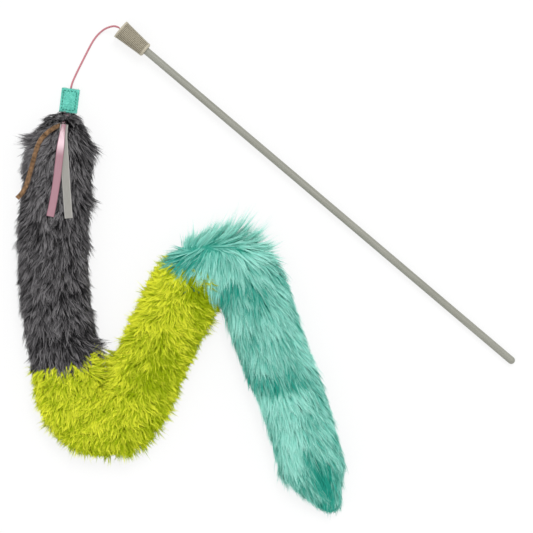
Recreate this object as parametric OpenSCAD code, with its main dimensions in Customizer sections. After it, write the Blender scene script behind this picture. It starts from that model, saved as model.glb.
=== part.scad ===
// Cat teaser wand: a plastic rod with a ribbed end cap, a cord, a felt tab with
// three tassels, and a long soft tail in three colours that lies folded on the floor.
// Millimetres. X and Y span the floor, Z is up, and everything rests on z = 0.

/* [Rod] */
// Length of the whole wand, from the flange of the cap to the butt of the rod
wand_len = 432; // [380:1:520]
// Diameter of the rod
rod_d = 6.35; // [5.6:0.05:7.4]
// Width of the groove that the cap snaps into
snap_groove_w = 1.8; // [1.4:0.1:2.6]
// Depth of that groove
snap_groove_depth = 0.4; // [0.3:0.05:0.6]
// Chamfer of the rod's end inside the cap
rod_chamfer = 0.6; // [0.3:0.1:1]

/* [End cap] */
// Length of the cap
cap_len = 28; // [25:0.5:36]
// Diameter of the cap's flange, where the cord comes out
cap_wide_d = 16.7; // [15:0.1:20]
// Diameter of the cap's lip, where the rod goes in
cap_narrow_d = 12.4; // [10.8:0.1:14]
// Thickness of the plain flange
cap_flange_t = 1.6; // [1.2:0.1:2.4]
// Length of the plain lip
cap_lip_len = 2.2; // [1.6:0.1:3]
// Bevel of the lip's edge
cap_lip_bevel = 0.8; // [0.4:0.1:1.2]
// Number of turned grip rings
cap_ring_count = 21; // [14:1:24]
// Depth of the grooves between the rings
cap_ring_depth = 0.5; // [0.2:0.05:0.8]
// Thickness of the wall that the cord passes through
cap_wall_t = 2.6; // [2.2:0.1:4]
// Diameter of the hole for the cord
cord_hole_d = 2.4; // [2.1:0.1:3.2]
// Diameter of the hollow for the cord's knot
knot_room_d = 8; // [6.8:0.1:8.6]
// Length of that hollow
knot_room_len = 6.4; // [5.6:0.1:8]
// Diameter of the knot
knot_d = 5; // [3.6:0.1:5.4]

/* [Cord] */
// Diameter of the cord
cord_d = 1.8; // [1.2:0.1:2]
// Length of the cord's end that is sewn into the tab
sewn_end_len = 9; // [6:0.5:10]

/* [Felt tab] */
// Length of the folded tab
tab_len = 19.8; // [19:0.2:26]
// Width of the folded tab
tab_w = 15; // [14:0.5:20]
// Thickness of the felt
felt_t = 1.6; // [1:0.1:2]
// Room between the two layers of felt
tab_room = 2.4; // [2.4:0.1:3.4]
// Distance of the stitching from the tab's edges
stitch_inset = 2; // [1.5:0.1:2.6]
// Length of one stitch
stitch_len = 1.7; // [1.2:0.1:2]
// Thickness of the sewing thread
thread_d = 0.5; // [0.3:0.05:0.7]

/* [Tail] */
// Length of the gently curved gray stretch, up to the elbow
gray_run = 235; // [225:1:250]
// Angle that the gray stretch turns through
gray_turn = 27; // [10:1:35]
// Bend radius of the elbow's centreline
elbow_r = 30; // [29.5:0.5:36]
// Angle that the elbow turns through
elbow_turn = 141; // [126:0.5:144]
// Length of the straight lime stretch
lime_run = 94; // [85:1:110]
// Bend radius of the fold's centreline
fold_r = 33.4; // [32:0.2:38]
// Angle that the fold turns through
fold_turn = 134; // [120:1:136]
// Length of the straight teal stretch
teal_run = 84; // [70:1:90]
// Length of the last stretch before the point
tip_run = 66; // [60:1:80]
// Angle that the last stretch turns through
tip_turn = 4; // [0:1:14]
// Length of the point
point_len = 38; // [28:1:40]
// Angle that the point turns back through
point_turn = 21; // [0:1:24]
// Distance along the tail from the tab to the gray and lime seam
lime_seam_at = 208; // [190:1:215]
// Width of the gray sleeve
gray_w = 52; // [46:1:54]
// Width of the lime sleeve
lime_w = 54; // [46:1:55]
// Width of the teal sleeve at its start
teal_w = 54; // [46:1:56]
// Width of the teal sleeve just before its point
tip_w = 48; // [40:1:54]
// Width of the blunt end
blunt_w = 9; // [6:0.5:12]
// Height of the sleeves
sleeve_h = 24; // [18:0.5:25]
// Height of the blunt end
blunt_h = 8; // [6:0.5:12]
// Length over which the neck swells to the full sleeve
swell_len = 22; // [18:0.5:28]
// Length of flat neck between the tab and the swelling
neck_len = 1.4; // [1.2:0.1:3]
// Width of the flat tongue that is sewn into the tab
tongue_w = 9.4; // [8:0.2:9.6]
// Thickness of that tongue
tongue_t = 2; // [1.2:0.1:2.1]
// Length of that tongue
tongue_len = 8; // [6:0.5:9]
// Depth of the flat that the tail rests on
rest_flat = 0.5; // [0.3:0.1:0.8]
// Width of the raised ridge at a seam between two colours
seam_w = 1.4; // [1:0.1:2]
// Height of that ridge
seam_rise = 0.5; // [0.3:0.1:0.8]

/* [Bends] */
// Distance along the tail from the tab to the bend in the gray stretch
gray_bend_at = 106; // [98:1:120]
// Angle that the gray bend turns to either side
gray_play = 8; // [4:1:10]
// Angle that each of the three elbow creases opens
elbow_open = 46; // [30:1:46]
// Angle that each of the three fold creases opens
fold_open = 14; // [8:1:18]
// Angle that the tip turns to either side
tip_play = 15; // [8:1:18]
// Room between two neighbours at a crease
crease_room = 0.4; // [0.3:0.05:0.6]
// Distance of a pleat from the middle of its crease
pleat_root = 3; // [2:0.1:5]

/* [Tassels] */
// Width of the satin ribbon
satin_w = 6.4; // [5:0.1:8]
// Width of the ribbed ribbon
ribbed_w = 6.6; // [5:0.1:8]
// Thickness of both ribbons
ribbon_t = 0.5; // [0.3:0.05:0.5]
// Width of the suede lace
suede_w = 4; // [3:0.1:5]
// Thickness of the suede lace
suede_t = 2.4; // [1.6:0.1:2.4]
// Thickness of the tassels' sewn roots
roots_t = 1.5; // [1:0.1:1.8]
// Width of the roots where the tassels leave them
roots_end_w = 4; // [3:0.1:5]
// How far the roots rise off the neck there
roots_rise = 4.2; // [2:0.1:5]

/* [Layout] */
// Place of the cap's flange on the floor, to the right of the middle
cap_x = -123.2; // [-140:0.1:-110]
// Place of the cap's flange on the floor, ahead of the middle
cap_y = 199; // [180:0.1:210]
// Direction in which the rod runs from its cap
rod_heading = -40.27; // [-45:0.01:-35]
// Place of the tab's cord end, to the right of the middle
tab_x = -165.2; // [-176:0.1:-156]
// Place of the tab's cord end, ahead of the middle
tab_y = 149.2; // [140:0.1:156]
// Direction in which the tab runs
tab_heading = -97; // [-104:0.5:-90]
// Direction in which the tail starts
tail_heading = -103.5; // [-106:0.5:-100]

/* [Hidden] */

// Colours
rod_colour = [0.56, 0.56, 0.52];
cap_colour = [0.58, 0.56, 0.50];
pink_colour = [0.93, 0.52, 0.62];
teal_felt_colour = [0.37, 0.77, 0.71];
gray_colour = [0.33, 0.31, 0.34];
lime_colour = [0.76, 0.82, 0.14];
teal_colour = [0.39, 0.74, 0.67];
ribbed_colour = [0.55, 0.54, 0.52];
suede_colour = [0.45, 0.30, 0.20];

// Clearances, overruns and smoothness
fit_room = 0.1;
cut_over = 1;
trim_over = 2;
turn_fn = 64;
sleeve_sides = 18;
sleeve_step = 8.5;
neck_steps = 6;
square_share = 0.82;

// Sizes worked out from the ones above
rod_r = rod_d / 2;
cap_wide_r = cap_wide_d / 2;
cap_narrow_r = cap_narrow_d / 2;
socket_start = cap_wall_t + knot_room_len;
rod_start = socket_start + fit_room;
tab_h = 2 * felt_t + tab_room;
tongue_z = felt_t + (tab_room - tongue_t) / 2;
tab_mid_z = felt_t + tab_room / 2;
half_room = crease_room / 2;
play_spare = 0.25;

// The flange's rim and the rod's butt both touch the floor, so the axis dips a little
axis_run = wand_len - rod_r;
axis_dip = acos(rod_r / norm([cap_wide_r, axis_run])) - atan2(axis_run, cap_wide_r);
flange_z = cap_wide_r * cos(axis_dip);

// Stretches of the tail's centreline, each with its length and the angle it turns
elbow_run = elbow_r * elbow_turn * PI / 180;
fold_run = fold_r * fold_turn * PI / 180;
kink_share = 0.35;
stretches = [
  [gray_run, gray_turn],
  [elbow_run, elbow_turn],
  [lime_run, 0],
  [fold_run, -fold_turn],
  [teal_run, 0],
  [tip_run * kink_share, -tip_turn],
  [tip_run * (1 - kink_share), 0],
  [point_len, point_turn]
];

// Places along the centreline
elbow_start = gray_run;
lime_start = elbow_start + elbow_run;
fold_start = lime_start + lime_run;
teal_start = fold_start + fold_run;
point_start = teal_start + teal_run + tip_run;
tail_end = point_start + point_len;
tip_crease_back = 4;
tip_bend_at = teal_start + teal_run - tip_crease_back;
elbow_crease_shares = [1 / 6, 3 / 6, 5 / 6];
fold_crease_shares = [0.215, 0.5, 0.785];
elbow_at = [for (share = elbow_crease_shares) elbow_start + share * elbow_run];
fold_at = [for (share = fold_crease_shares) fold_start + share * fold_run];

// Half of the angle by which each side of a crease is cut back
gray_cut = gray_play / 2 + play_spare;
elbow_cut = elbow_open / 2 + play_spare;
fold_cut = fold_open / 2 + play_spare;
tip_cut = tip_play / 2 + play_spare;

tail_x = tab_x + tab_len * cos(tab_heading);
tail_y = tab_y + tab_len * sin(tab_heading);

// The cord's route from the flange to the tab, chosen by hand
cord_route = [
  [-123.6, 199.3, 8.3], [-125.4, 200.6, 8.2], [-128.7, 201.4, 7.4], [-132.7, 200.8, 5.8],
  [-136.7, 199.2, 3.8], [-140.2, 196.8, 2.2], [-143.7, 193.4, 1.2], [-146.7, 189.2, 1],
  [-149.4, 184.4, 1], [-152.6, 178.2, 1], [-156, 171.4, 1], [-159, 165.4, 1.1],
  [-161.8, 159.4, 1.8], [-163.9, 154.2, 2.6], [-165.1, 149.6, 2.8]
];
// The tassels' routes over the tail, chosen by hand
satin_route = [
  [-169.4, 118.6, 24.8], [-170, 114.9, 26.4], [-170.6, 110.4, 27.8], [-171.2, 105.4, 28.4],
  [-172.2, 97.4, 28.4], [-173.4, 86.4, 28.4], [-174.8, 74.4, 28.3], [-176.6, 62.4, 28.3],
  [-178.6, 51.4, 28.3], [-180.6, 41.9, 28.3]
];
ribbed_route = [
  [-169.2, 118.4, 23.4], [-169.5, 114.9, 25], [-169.7, 110.4, 26.6], [-169.6, 105.4, 27.4],
  [-169, 97.4, 27.4], [-168.4, 86.4, 27.4], [-167.7, 74.4, 27.4], [-166.9, 62.4, 27.4],
  [-166.1, 51.4, 27.4], [-165.2, 40.4, 27.4]
];
suede_route = [
  [-172.4, 117.9, 21.7], [-174.8, 116.9, 23], [-178.7, 114.8, 24.8], [-183.2, 111.4, 25.7],
  [-187.6, 107, 25.9], [-191, 100.8, 25.8], [-193.6, 92.9, 25.8], [-195.8, 84.4, 25.8],
  [-198, 76.4, 25.8], [-200.4, 68.4, 25.8], [-203.8, 61.8, 25.8], [-208.2, 57, 25.8]
];

// Signed power, for a section between an ellipse and a rectangle
function spread(v, e) = sign(v) * pow(abs(v), e);
function unit(v) = v / norm(v);

// Place and direction [x, y, heading] after a distance along one stretch
function along(p, len, turn, dist) =
  turn == 0
    ? [p[0] + dist * cos(p[2]), p[1] + dist * sin(p[2]), p[2]]
    : let (r = len * 180 / (PI * turn), h = p[2] + turn * dist / len)
      [p[0] + r * (sin(h) - sin(p[2])), p[1] + r * (cos(p[2]) - cos(h)), h];

// Place and direction on the tail's centreline at a distance from the tab
function tail_at(dist, i = 0, p = [tail_x, tail_y, tail_heading]) =
  let (len = stretches[i][0], turn = stretches[i][1])
  dist < 0 ? along(p, len, 0, dist)
  : dist <= len || i == len(stretches) - 1 ? along(p, len, turn, dist)
  : tail_at(dist - len, i + 1, along(p, len, turn, len));

// How far the neck has swollen, and how much of the point is left
function swell(dist) = pow(sin(90 * max(0, min(1, (dist - neck_len) / swell_len))), square_share);
function narrowing(dist) = max(0, min(1, (dist - point_start) / point_len));

function sleeve_w(dist) =
  dist < gray_bend_at
    ? tongue_w + (gray_w - tongue_w) * swell(dist)
    : lookup(dist, [
        [gray_bend_at, gray_w], [lime_seam_at, gray_w], [elbow_start, lime_w],
        [fold_start, lime_w], [teal_start, teal_w], [point_start, tip_w]
      ]) - (tip_w - blunt_w) * narrowing(dist);

function sleeve_top(dist) =
  dist < gray_bend_at
    ? tongue_t + (sleeve_h - tongue_t) * swell(dist)
    : sleeve_h - (sleeve_h - blunt_h) * narrowing(dist);

// The tongue lies between the layers of felt, and the neck comes down to the floor
function sleeve_lift(dist) = tongue_z * (1 - swell(2 * dist));

// Half outline of a sleeve's section, from the middle of its flat to its crown
function half_section(dist) =
  let (w = sleeve_w(dist), h = sleeve_top(dist) + rest_flat)
  [for (k = [0:sleeve_sides / 2])
    let (a = 360 * k / sleeve_sides - 90)
    [w / 2 * spread(cos(a), square_share), max(0, h / 2 * (1 + spread(sin(a), square_share)) - rest_flat)]];

// Closed ring of points round the tail, grown by some amount for a seam
function sleeve_ring(dist, grow = 0) =
  let (
    p = tail_at(dist),
    half = half_section(dist),
    last = len(half) - 1,
    mid_z = sleeve_top(dist) / 2,
    scale_w = 1 + 2 * grow / sleeve_w(dist),
    scale_z = 1 + 2 * grow / sleeve_top(dist),
    outline = concat(
      [for (k = [0:last]) half[k]],
      [for (k = [last - 1:-1:1]) [-half[k][0], half[k][1]]]
    )
  )
  [for (q = outline)
    let (side = q[0] * scale_w, z = max(0, mid_z + (q[1] - mid_z) * scale_z))
    [p[0] + side * sin(p[2]), p[1] - side * cos(p[2]), sleeve_lift(dist) + z]];

// Directions along a route, and rings of a tube or of a flat band along it
function heading_of(route, i) =
  unit(route[min(i + 1, len(route) - 1)] - route[max(i - 1, 0)]);
function ring_along(route, i, shape) =
  let (d = heading_of(route, i), side = unit(cross(d, [0, 0, 1])), up = cross(side, d))
  [for (q = shape) route[i] + q[0] * side + q[1] * up];
function round_shape(r, sides = 8) =
  [for (k = [0:sides - 1]) r * [cos(360 * k / sides), sin(360 * k / sides)]];
function band_shape(w, t) =
  [[w / 2, -t / 2], [w / 2, t / 2], [-w / 2, t / 2], [-w / 2, -t / 2]];

// Skin over a row of rings that all have the same number of points
module skin(rings) {
  n = len(rings[0]);
  last = len(rings) - 1;
  points = [for (ring = rings) each ring];
  sides = [for (i = [0:last - 1], j = [0:n - 1])
    let (k = (j + 1) % n, a = i * n, b = a + n)
    each [[a + j, a + k, b + k], [a + j, b + k, b + j]]];
  start_end = [for (j = [1:n - 2]) [0, j + 1, j]];
  far_end = [for (j = [1:n - 2]) [last * n, last * n + j, last * n + j + 1]];
  polyhedron(points, concat(sides, start_end, far_end));
}

// Soft sleeve between two places along the tail
module sleeve(from, to) {
  count = ceil((to - from) / sleeve_step);
  skin([for (i = [0:count]) sleeve_ring(from + (to - from) * i / count)]);
}

// What a crease takes away from the sleeve before it, or from the one after it
module crease_cut(at, before, left_cut, right_cut) {
  p = tail_at(at);
  reach = sleeve_w(at) / 2 + crease_room + cut_over;
  way = before ? 1 : -1;
  translate([p[0], p[1], -cut_over])
    rotate(p[2])
      linear_extrude(sleeve_h + 2 * cut_over)
        polygon([
          [-way * half_room, 0],
          [-way * (half_room + reach * tan(left_cut)), reach],
          [way * 2 * trim_over, reach],
          [way * 2 * trim_over, -reach],
          [-way * (half_room + reach * tan(right_cut)), -reach]
        ]);
}

// Surplus fabric that stands in the notch on one side of a crease
module pleat(at, on_left, cut) {
  p = tail_at(at);
  translate([p[0], p[1], 0])
    rotate(p[2] + (on_left ? 90 : -90) - cut)
      rotate_extrude(angle = 2 * cut, $fn = turn_fn)
        polygon([for (q = half_section(at)) [max(pleat_root, q[0]), q[1]]]);
}

// Puts what is drawn along +X on the wand's axis, from the flange towards the butt
module on_wand() {
  translate([cap_x, cap_y, flange_z])
    rotate([0, axis_dip, rod_heading])
      rotate([0, 90, 0])
        children();
}

// Puts what is drawn on the tab, which runs along +X from its cord end
module on_tab() {
  translate([tab_x, tab_y, 0])
    rotate(tab_heading)
      children();
}

// Plastic rod with a domed butt and the groove for its cap
module rod() {
  color(rod_colour)
    on_wand() {
      translate([0, 0, rod_start])
        rotate_extrude($fn = turn_fn)
          polygon([
            [0, 0],
            [rod_r - rod_chamfer, 0],
            [rod_r, rod_chamfer],
            [rod_r, cap_len - snap_groove_w - rod_start],
            [rod_r - snap_groove_depth, cap_len - snap_groove_w - rod_start],
            [rod_r - snap_groove_depth, cap_len - rod_start],
            [rod_r, cap_len - rod_start],
            [rod_r, axis_run - rod_start],
            [0, axis_run - rod_start]
          ]);
      translate([0, 0, axis_run])
        sphere(r = rod_r, $fn = turn_fn);
    }
}

// Radius of the cap's cone at a distance from the flange
function cap_r(dist) = cap_wide_r + (cap_narrow_r - cap_wide_r) * dist / cap_len;

// Tapered cap with turned grip rings, a hollow for the knot and a snap-on socket
module end_cap() {
  grip_len = cap_len - cap_flange_t - cap_lip_len;
  pitch = grip_len / cap_ring_count;
  groove_share = 0.2;
  crest_shares = [0, 0.16, 0.44, 0.60];
  depth_shares = [1, 0, 0, 1];
  grip = [for (i = [0:cap_ring_count - 1], k = [0:len(crest_shares) - 1])
    let (z = cap_flange_t + pitch * (i + groove_share + crest_shares[k]))
    [cap_r(z) - cap_ring_depth * depth_shares[k], z]];
  bead_r = rod_r - snap_groove_depth + fit_room;
  bead_start = cap_len - snap_groove_w + fit_room;
  socket_r = rod_r + fit_room;
  color(cap_colour)
    on_wand()
      rotate_extrude($fn = turn_fn)
        polygon(concat(
          [[cord_hole_d / 2, 0], [cap_wide_r, 0], [cap_r(cap_flange_t), cap_flange_t]],
          [[cap_r(cap_flange_t) - cap_ring_depth, cap_flange_t]],
          grip,
          [
            [cap_r(cap_len - cap_lip_len) - cap_ring_depth, cap_len - cap_lip_len],
            [cap_r(cap_len - cap_lip_len), cap_len - cap_lip_len],
            [cap_narrow_r, cap_len - cap_lip_bevel],
            [cap_narrow_r - cap_lip_bevel, cap_len],
            [bead_r, cap_len],
            [bead_r, bead_start],
            [socket_r, bead_start - (socket_r - bead_r)],
            [socket_r, socket_start],
            [knot_room_d / 2, socket_start],
            [knot_room_d / 2, cap_wall_t],
            [cord_hole_d / 2, cap_wall_t]
          ]
        ));
}

// Knot inside the cap, with the cord's stub in the hole
module cord_knot() {
  color(pink_colour)
    on_wand() {
      cylinder(d = cord_d, h = cap_wall_t + knot_d / 2, $fn = turn_fn);
      translate([0, 0, cap_wall_t + knot_d / 2])
        sphere(d = knot_d, $fn = turn_fn);
    }
}

// Free cord from the flange to the tab, with rounded ends that turn in their holes
module cord() {
  last = len(cord_route) - 1;
  end_share = 0.35;
  color(pink_colour)
    skin([for (i = [0:last])
      ring_along(cord_route, i, round_shape(cord_d / 2 * (i == 0 || i == last ? end_share : 1)))]);
}

// End of the cord that is sewn between the layers of felt
module cord_sewn_end() {
  color(pink_colour)
    on_tab()
      translate([fit_room, 0, tab_mid_z])
        rotate([0, 90, 0])
          cylinder(d = cord_d, h = sewn_end_len, $fn = turn_fn);
}

// Strip of felt folded over along one side
module felt_tab() {
  color(teal_felt_colour)
    on_tab()
      rotate([90, 0, 90])
        linear_extrude(tab_len)
          difference() {
            union() {
              translate([-tab_w / 2 + tab_h / 2, tab_h / 2])
                circle(d = tab_h, $fn = turn_fn);
              translate([-tab_w / 2 + tab_h / 2, 0])
                square([tab_w - tab_h / 2, tab_h]);
            }
            translate([-tab_w / 2 + tab_h / 2, tab_h / 2])
              circle(d = tab_room, $fn = turn_fn);
            translate([-tab_w / 2 + tab_h / 2, felt_t])
              square([tab_w, tab_room]);
          }
}

// Row of stitches between two points on the tab
module stitch_row(from, to, count) {
  way = to - from;
  for (i = [0:count - 1])
    translate([each (from + way * (i + 0.5) / count), tab_h + thread_d / 2])
      rotate(atan2(way[1], way[0]))
        cube([stitch_len, thread_d, thread_d], center = true);
}

// Stitches round the tab, which hold the cord's end and the tail's tongue
module tab_stitches() {
  near = stitch_inset;
  far = tab_len - stitch_inset;
  side = tab_w / 2 - stitch_inset;
  long_count = 6;
  short_count = 4;
  color(teal_felt_colour)
    on_tab() {
      stitch_row([near, side], [far, side], long_count);
      stitch_row([near, -side], [far, -side], long_count);
      stitch_row([near, -side], [near, side], short_count);
      stitch_row([far, -side], [far, side], short_count);
    }
}

// Gray sleeve from the tongue in the tab to the first bend
module gray_sleeve_upper() {
  neck = [for (i = [0:neck_steps]) neck_len + swell_len * pow(i / neck_steps, 1 / square_share)];
  body_start = neck_len + swell_len;
  body_len = gray_bend_at + trim_over - body_start;
  count = ceil(body_len / sleeve_step);
  rest = [for (i = [1:count]) body_start + body_len * i / count];
  color(gray_colour)
    difference() {
      skin([for (dist = concat([-tongue_len], neck, rest)) sleeve_ring(dist)]);
      crease_cut(gray_bend_at, true, gray_cut, gray_cut);
    }
}

// Gray sleeve from the first bend to the lime seam
module gray_sleeve_lower() {
  color(gray_colour)
    difference() {
      sleeve(gray_bend_at - trim_over, lime_seam_at);
      crease_cut(gray_bend_at, false, gray_cut, gray_cut);
    }
}

// Surplus fabric on both sides of the gray bend
module gray_pleats() {
  color(gray_colour) {
    pleat(gray_bend_at, true, gray_cut);
    pleat(gray_bend_at, false, gray_cut);
  }
}

// Ridge of a seam, as a hoop over the sleeve from the floor on one side to the other
module seam_hoop(at) {
  near = at - seam_w / 2;
  far = at + seam_w / 2;
  skin([for (k = [1:sleeve_sides - 1]) [
    sleeve_ring(far, seam_rise)[k],
    sleeve_ring(near, seam_rise)[k],
    sleeve_ring(near, fit_room / 2)[k],
    sleeve_ring(far, fit_room / 2)[k]
  ]]);
}

// Seam between the gray and the lime sleeve
module gray_lime_seam() {
  color(gray_colour)
    seam_hoop(lime_seam_at);
}

// Lime sleeve from its seam to the first crease of the elbow
module lime_sleeve_start() {
  color(lime_colour)
    difference() {
      sleeve(lime_seam_at, elbow_at[0] + trim_over);
      crease_cut(elbow_at[0], true, 0, elbow_cut);
    }
}

// One of the two lime sleeves between the elbow's creases
module elbow_sleeve(i) {
  color(lime_colour)
    difference() {
      sleeve(elbow_at[i] - trim_over, elbow_at[i + 1] + trim_over);
      crease_cut(elbow_at[i], false, 0, elbow_cut);
      crease_cut(elbow_at[i + 1], true, 0, elbow_cut);
    }
}

// Lime sleeve from the last crease of the elbow to the first crease of the fold
module lime_sleeve() {
  color(lime_colour)
    difference() {
      sleeve(elbow_at[2] - trim_over, fold_at[0] + trim_over);
      crease_cut(elbow_at[2], false, 0, elbow_cut);
      crease_cut(fold_at[0], true, fold_cut, 0);
    }
}

// Surplus fabric on the outside of one of the elbow's creases
module elbow_pleat(i) {
  color(lime_colour)
    pleat(elbow_at[i], false, elbow_cut);
}

// Seam between the lime and the teal sleeve, just before the fold's first crease
module lime_teal_seam() {
  color(teal_colour)
    seam_hoop(fold_at[0] - sleeve_w(fold_at[0]) / 2 * tan(fold_cut) - seam_w);
}

// One of the two teal sleeves between the fold's creases
module fold_sleeve(i) {
  color(teal_colour)
    difference() {
      sleeve(fold_at[i] - trim_over, fold_at[i + 1] + trim_over);
      crease_cut(fold_at[i], false, fold_cut, 0);
      crease_cut(fold_at[i + 1], true, fold_cut, 0);
    }
}

// Surplus fabric on the outside of one of the fold's creases
module fold_pleat(i) {
  color(teal_colour)
    pleat(fold_at[i], true, fold_cut);
}

// Teal sleeve from the last crease of the fold to the tip's bend
module teal_sleeve() {
  color(teal_colour)
    difference() {
      sleeve(fold_at[2] - trim_over, tip_bend_at + trim_over);
      crease_cut(fold_at[2], false, fold_cut, 0);
      crease_cut(tip_bend_at, true, tip_cut, tip_cut);
    }
}

// Last sleeve, which narrows to the blunt end
module tip_sleeve() {
  color(teal_colour)
    difference() {
      sleeve(tip_bend_at - trim_over, tail_end);
      crease_cut(tip_bend_at, false, tip_cut, tip_cut);
    }
}

// Surplus fabric on both sides of the tip's bend
module tip_pleats() {
  color(teal_colour) {
    pleat(tip_bend_at, true, tip_cut);
    pleat(tip_bend_at, false, tip_cut);
  }
}

// Stitches across the blunt end, which close the sleeve
module tip_stitches() {
  p = tail_at(tail_end);
  count = 3;
  color(teal_colour)
    translate([p[0], p[1], 0])
      rotate(p[2])
        for (i = [0:count - 1])
          translate([thread_d / 2, blunt_w / 2 * (i + 0.5 - count / 2) / count, blunt_h / 2])
            cube([thread_d, thread_d, blunt_h / 2], center = true);
}

// Height of the neck's crown, and its slope
function crown(dist) = sleeve_lift(dist) + sleeve_top(dist);
function crown_slope(dist) = atan2(crown(dist + fit_room) - crown(dist - fit_room), 2 * fit_room);

// Sewn roots of the three tassels, from the tab's edge up the neck and off it
module tassel_roots() {
  steps = 6;
  reach_share = 0.37;
  start = neck_len + roots_t / 2;
  route = [for (i = [0:steps])
    let (
      share = i / steps,
      dist = start + swell_len * reach_share * share,
      p = tail_at(dist),
      room = (crease_room + roots_t / 2) / cos(crown_slope(dist))
    )
    [p[0], p[1], crown(dist) + room + roots_rise * share]];
  color(pink_colour)
    skin([for (i = [0:steps])
      ring_along(route, i, band_shape(satin_w + (roots_end_w - satin_w) * i / steps, roots_t))]);
}

// Flat band along a route, for a ribbon or a lace
module band(route, w, t) {
  skin([for (i = [0:len(route) - 1]) ring_along(route, i, band_shape(w, t))]);
}

// Pink satin ribbon
module satin_ribbon() {
  color(pink_colour)
    band(satin_route, satin_w, ribbon_t);
}

// Gray ribbed ribbon that lies under the satin one
module ribbed_ribbon() {
  color(ribbed_colour)
    band(ribbed_route, ribbed_w, ribbon_t);
}

// Brown suede lace
module suede_lace() {
  color(suede_colour)
    band(suede_route, suede_w, suede_t);
}

rod();
end_cap();
cord_knot();
cord();
cord_sewn_end();
felt_tab();
tab_stitches();
gray_sleeve_upper();
gray_sleeve_lower();
gray_pleats();
gray_lime_seam();
lime_sleeve_start();
elbow_sleeve(0);  // elbow_sleeve_1
elbow_sleeve(1);  // elbow_sleeve_2
lime_sleeve();
elbow_pleat(0);  // elbow_pleat_1
elbow_pleat(1);  // elbow_pleat_2
elbow_pleat(2);  // elbow_pleat_3
lime_teal_seam();
fold_sleeve(0);  // fold_sleeve_1
fold_sleeve(1);  // fold_sleeve_2
fold_pleat(0);  // fold_pleat_1
fold_pleat(1);  // fold_pleat_2
fold_pleat(2);  // fold_pleat_3
teal_sleeve();
tip_sleeve();
tip_pleats();
tip_stitches();
tassel_roots();
satin_ribbon();
ribbed_ribbon();
suede_lace();
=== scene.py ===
"""Cat teaser wand: a ribbed cap on a rod, a pink cord, a felt tab, three tassels and a long furry tail."""

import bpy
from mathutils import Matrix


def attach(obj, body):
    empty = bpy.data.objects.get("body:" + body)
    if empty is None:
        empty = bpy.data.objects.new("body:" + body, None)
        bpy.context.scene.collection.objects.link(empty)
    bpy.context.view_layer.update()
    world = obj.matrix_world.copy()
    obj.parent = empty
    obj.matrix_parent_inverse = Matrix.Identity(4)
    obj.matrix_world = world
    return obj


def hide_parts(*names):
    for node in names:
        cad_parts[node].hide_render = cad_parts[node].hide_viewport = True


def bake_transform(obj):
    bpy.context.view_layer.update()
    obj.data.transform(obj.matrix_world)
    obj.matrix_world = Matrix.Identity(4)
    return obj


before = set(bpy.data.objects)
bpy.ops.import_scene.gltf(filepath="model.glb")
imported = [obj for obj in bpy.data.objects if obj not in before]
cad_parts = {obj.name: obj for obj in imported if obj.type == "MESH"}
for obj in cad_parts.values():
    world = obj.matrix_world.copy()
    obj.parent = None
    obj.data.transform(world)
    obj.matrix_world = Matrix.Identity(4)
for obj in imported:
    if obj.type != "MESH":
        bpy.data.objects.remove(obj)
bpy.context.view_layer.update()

import logging
import math
from dataclasses import dataclass, field
from enum import Enum

import bmesh
import bpy
import numpy as np
from mathutils import Vector

LOG = logging.getLogger("wand")
MM = 0.001
FULL_TURN = 2 * math.pi
UV_NAME = "OFBake"
CAP_EXIT = (-123.2, 199.0, 8.349)
CAP_AXIS = (0.76295, -0.64634, -0.01207)
TAB_START = (-165.2, 149.2)
TAB_HEADING = -97.0
FAR_ASIDE = 99.0
Array = np.ndarray
Colour = tuple[float, float, float]


def srgb(red: float, green: float, blue: float) -> Colour:
    """Turns a colour from 0-255 screen values into linear ones."""
    return tuple(
        value / 12.92 if value <= 0.04045 else ((value + 0.055) / 1.055) ** 2.4
        for value in (red / 255, green / 255, blue / 255)
    )


def unit(vectors: Array) -> Array:
    """Scales each row to length 1."""
    return vectors / np.maximum(np.linalg.norm(vectors, axis=-1, keepdims=True), 1e-9)


def dot(a: Array, b: Array) -> Array:
    """Row by row scalar product, kept as a column."""
    return np.sum(a * b, axis=-1, keepdims=True)


def squared_off(value: Array, power: float) -> Array:
    """Raises a sine or cosine to a power and keeps its sign, which squares off an ellipse."""
    return np.sign(value) * np.abs(value) ** power


def heading_way(heading: float) -> Array:
    """Unit vector in the plan along a heading in radians."""
    return np.array([math.cos(heading), math.sin(heading), 0.0])


def run_along(line: Array) -> Array:
    """Distance from a line's start to each of its points."""
    return np.concatenate([[0], np.cumsum(np.linalg.norm(np.diff(line, axis=0), axis=1))])


def smooth_route(points: list[list[float]], step: float) -> Array:
    """Lays a smooth line through given points.

    Args:
        points: Points in millimetres.
        step: Wanted distance between the new points, in metres.

    Returns:
        Points in metres, evenly spaced along the line.
    """
    knots = np.array(points, float) * MM
    padded = np.vstack([2 * knots[0] - knots[1], knots, 2 * knots[-1] - knots[-2]])
    fine = []
    share = np.linspace(0, 1, 24, endpoint=False)[:, None]
    for p0, p1, p2, p3 in zip(padded, padded[1:], padded[2:], padded[3:]):
        fine.append(0.5 * (2 * p1 + (p2 - p0) * share + (2 * p0 - 5 * p1 + 4 * p2 - p3) * share**2
                           + (3 * p1 - p0 - 3 * p2 + p3) * share**3))
    line = np.vstack(fine + [knots[-1:]])
    run = run_along(line)
    places = np.linspace(0, run[-1], max(2, round(run[-1] / step)) + 1)
    return np.stack([np.interp(places, run, line[:, axis]) for axis in range(3)], axis=1)


def frames_along(route: Array) -> tuple[Array, Array, Array]:
    """Directions along a route.

    Args:
        route: Points in metres.

    Returns:
        Forward, sideways and upward unit vectors at each point.
    """
    forward = unit(np.gradient(route, axis=0))
    side = unit(np.cross(forward, [0.0, 0.0, 1.0]))
    return forward, side, np.cross(side, forward)


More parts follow.
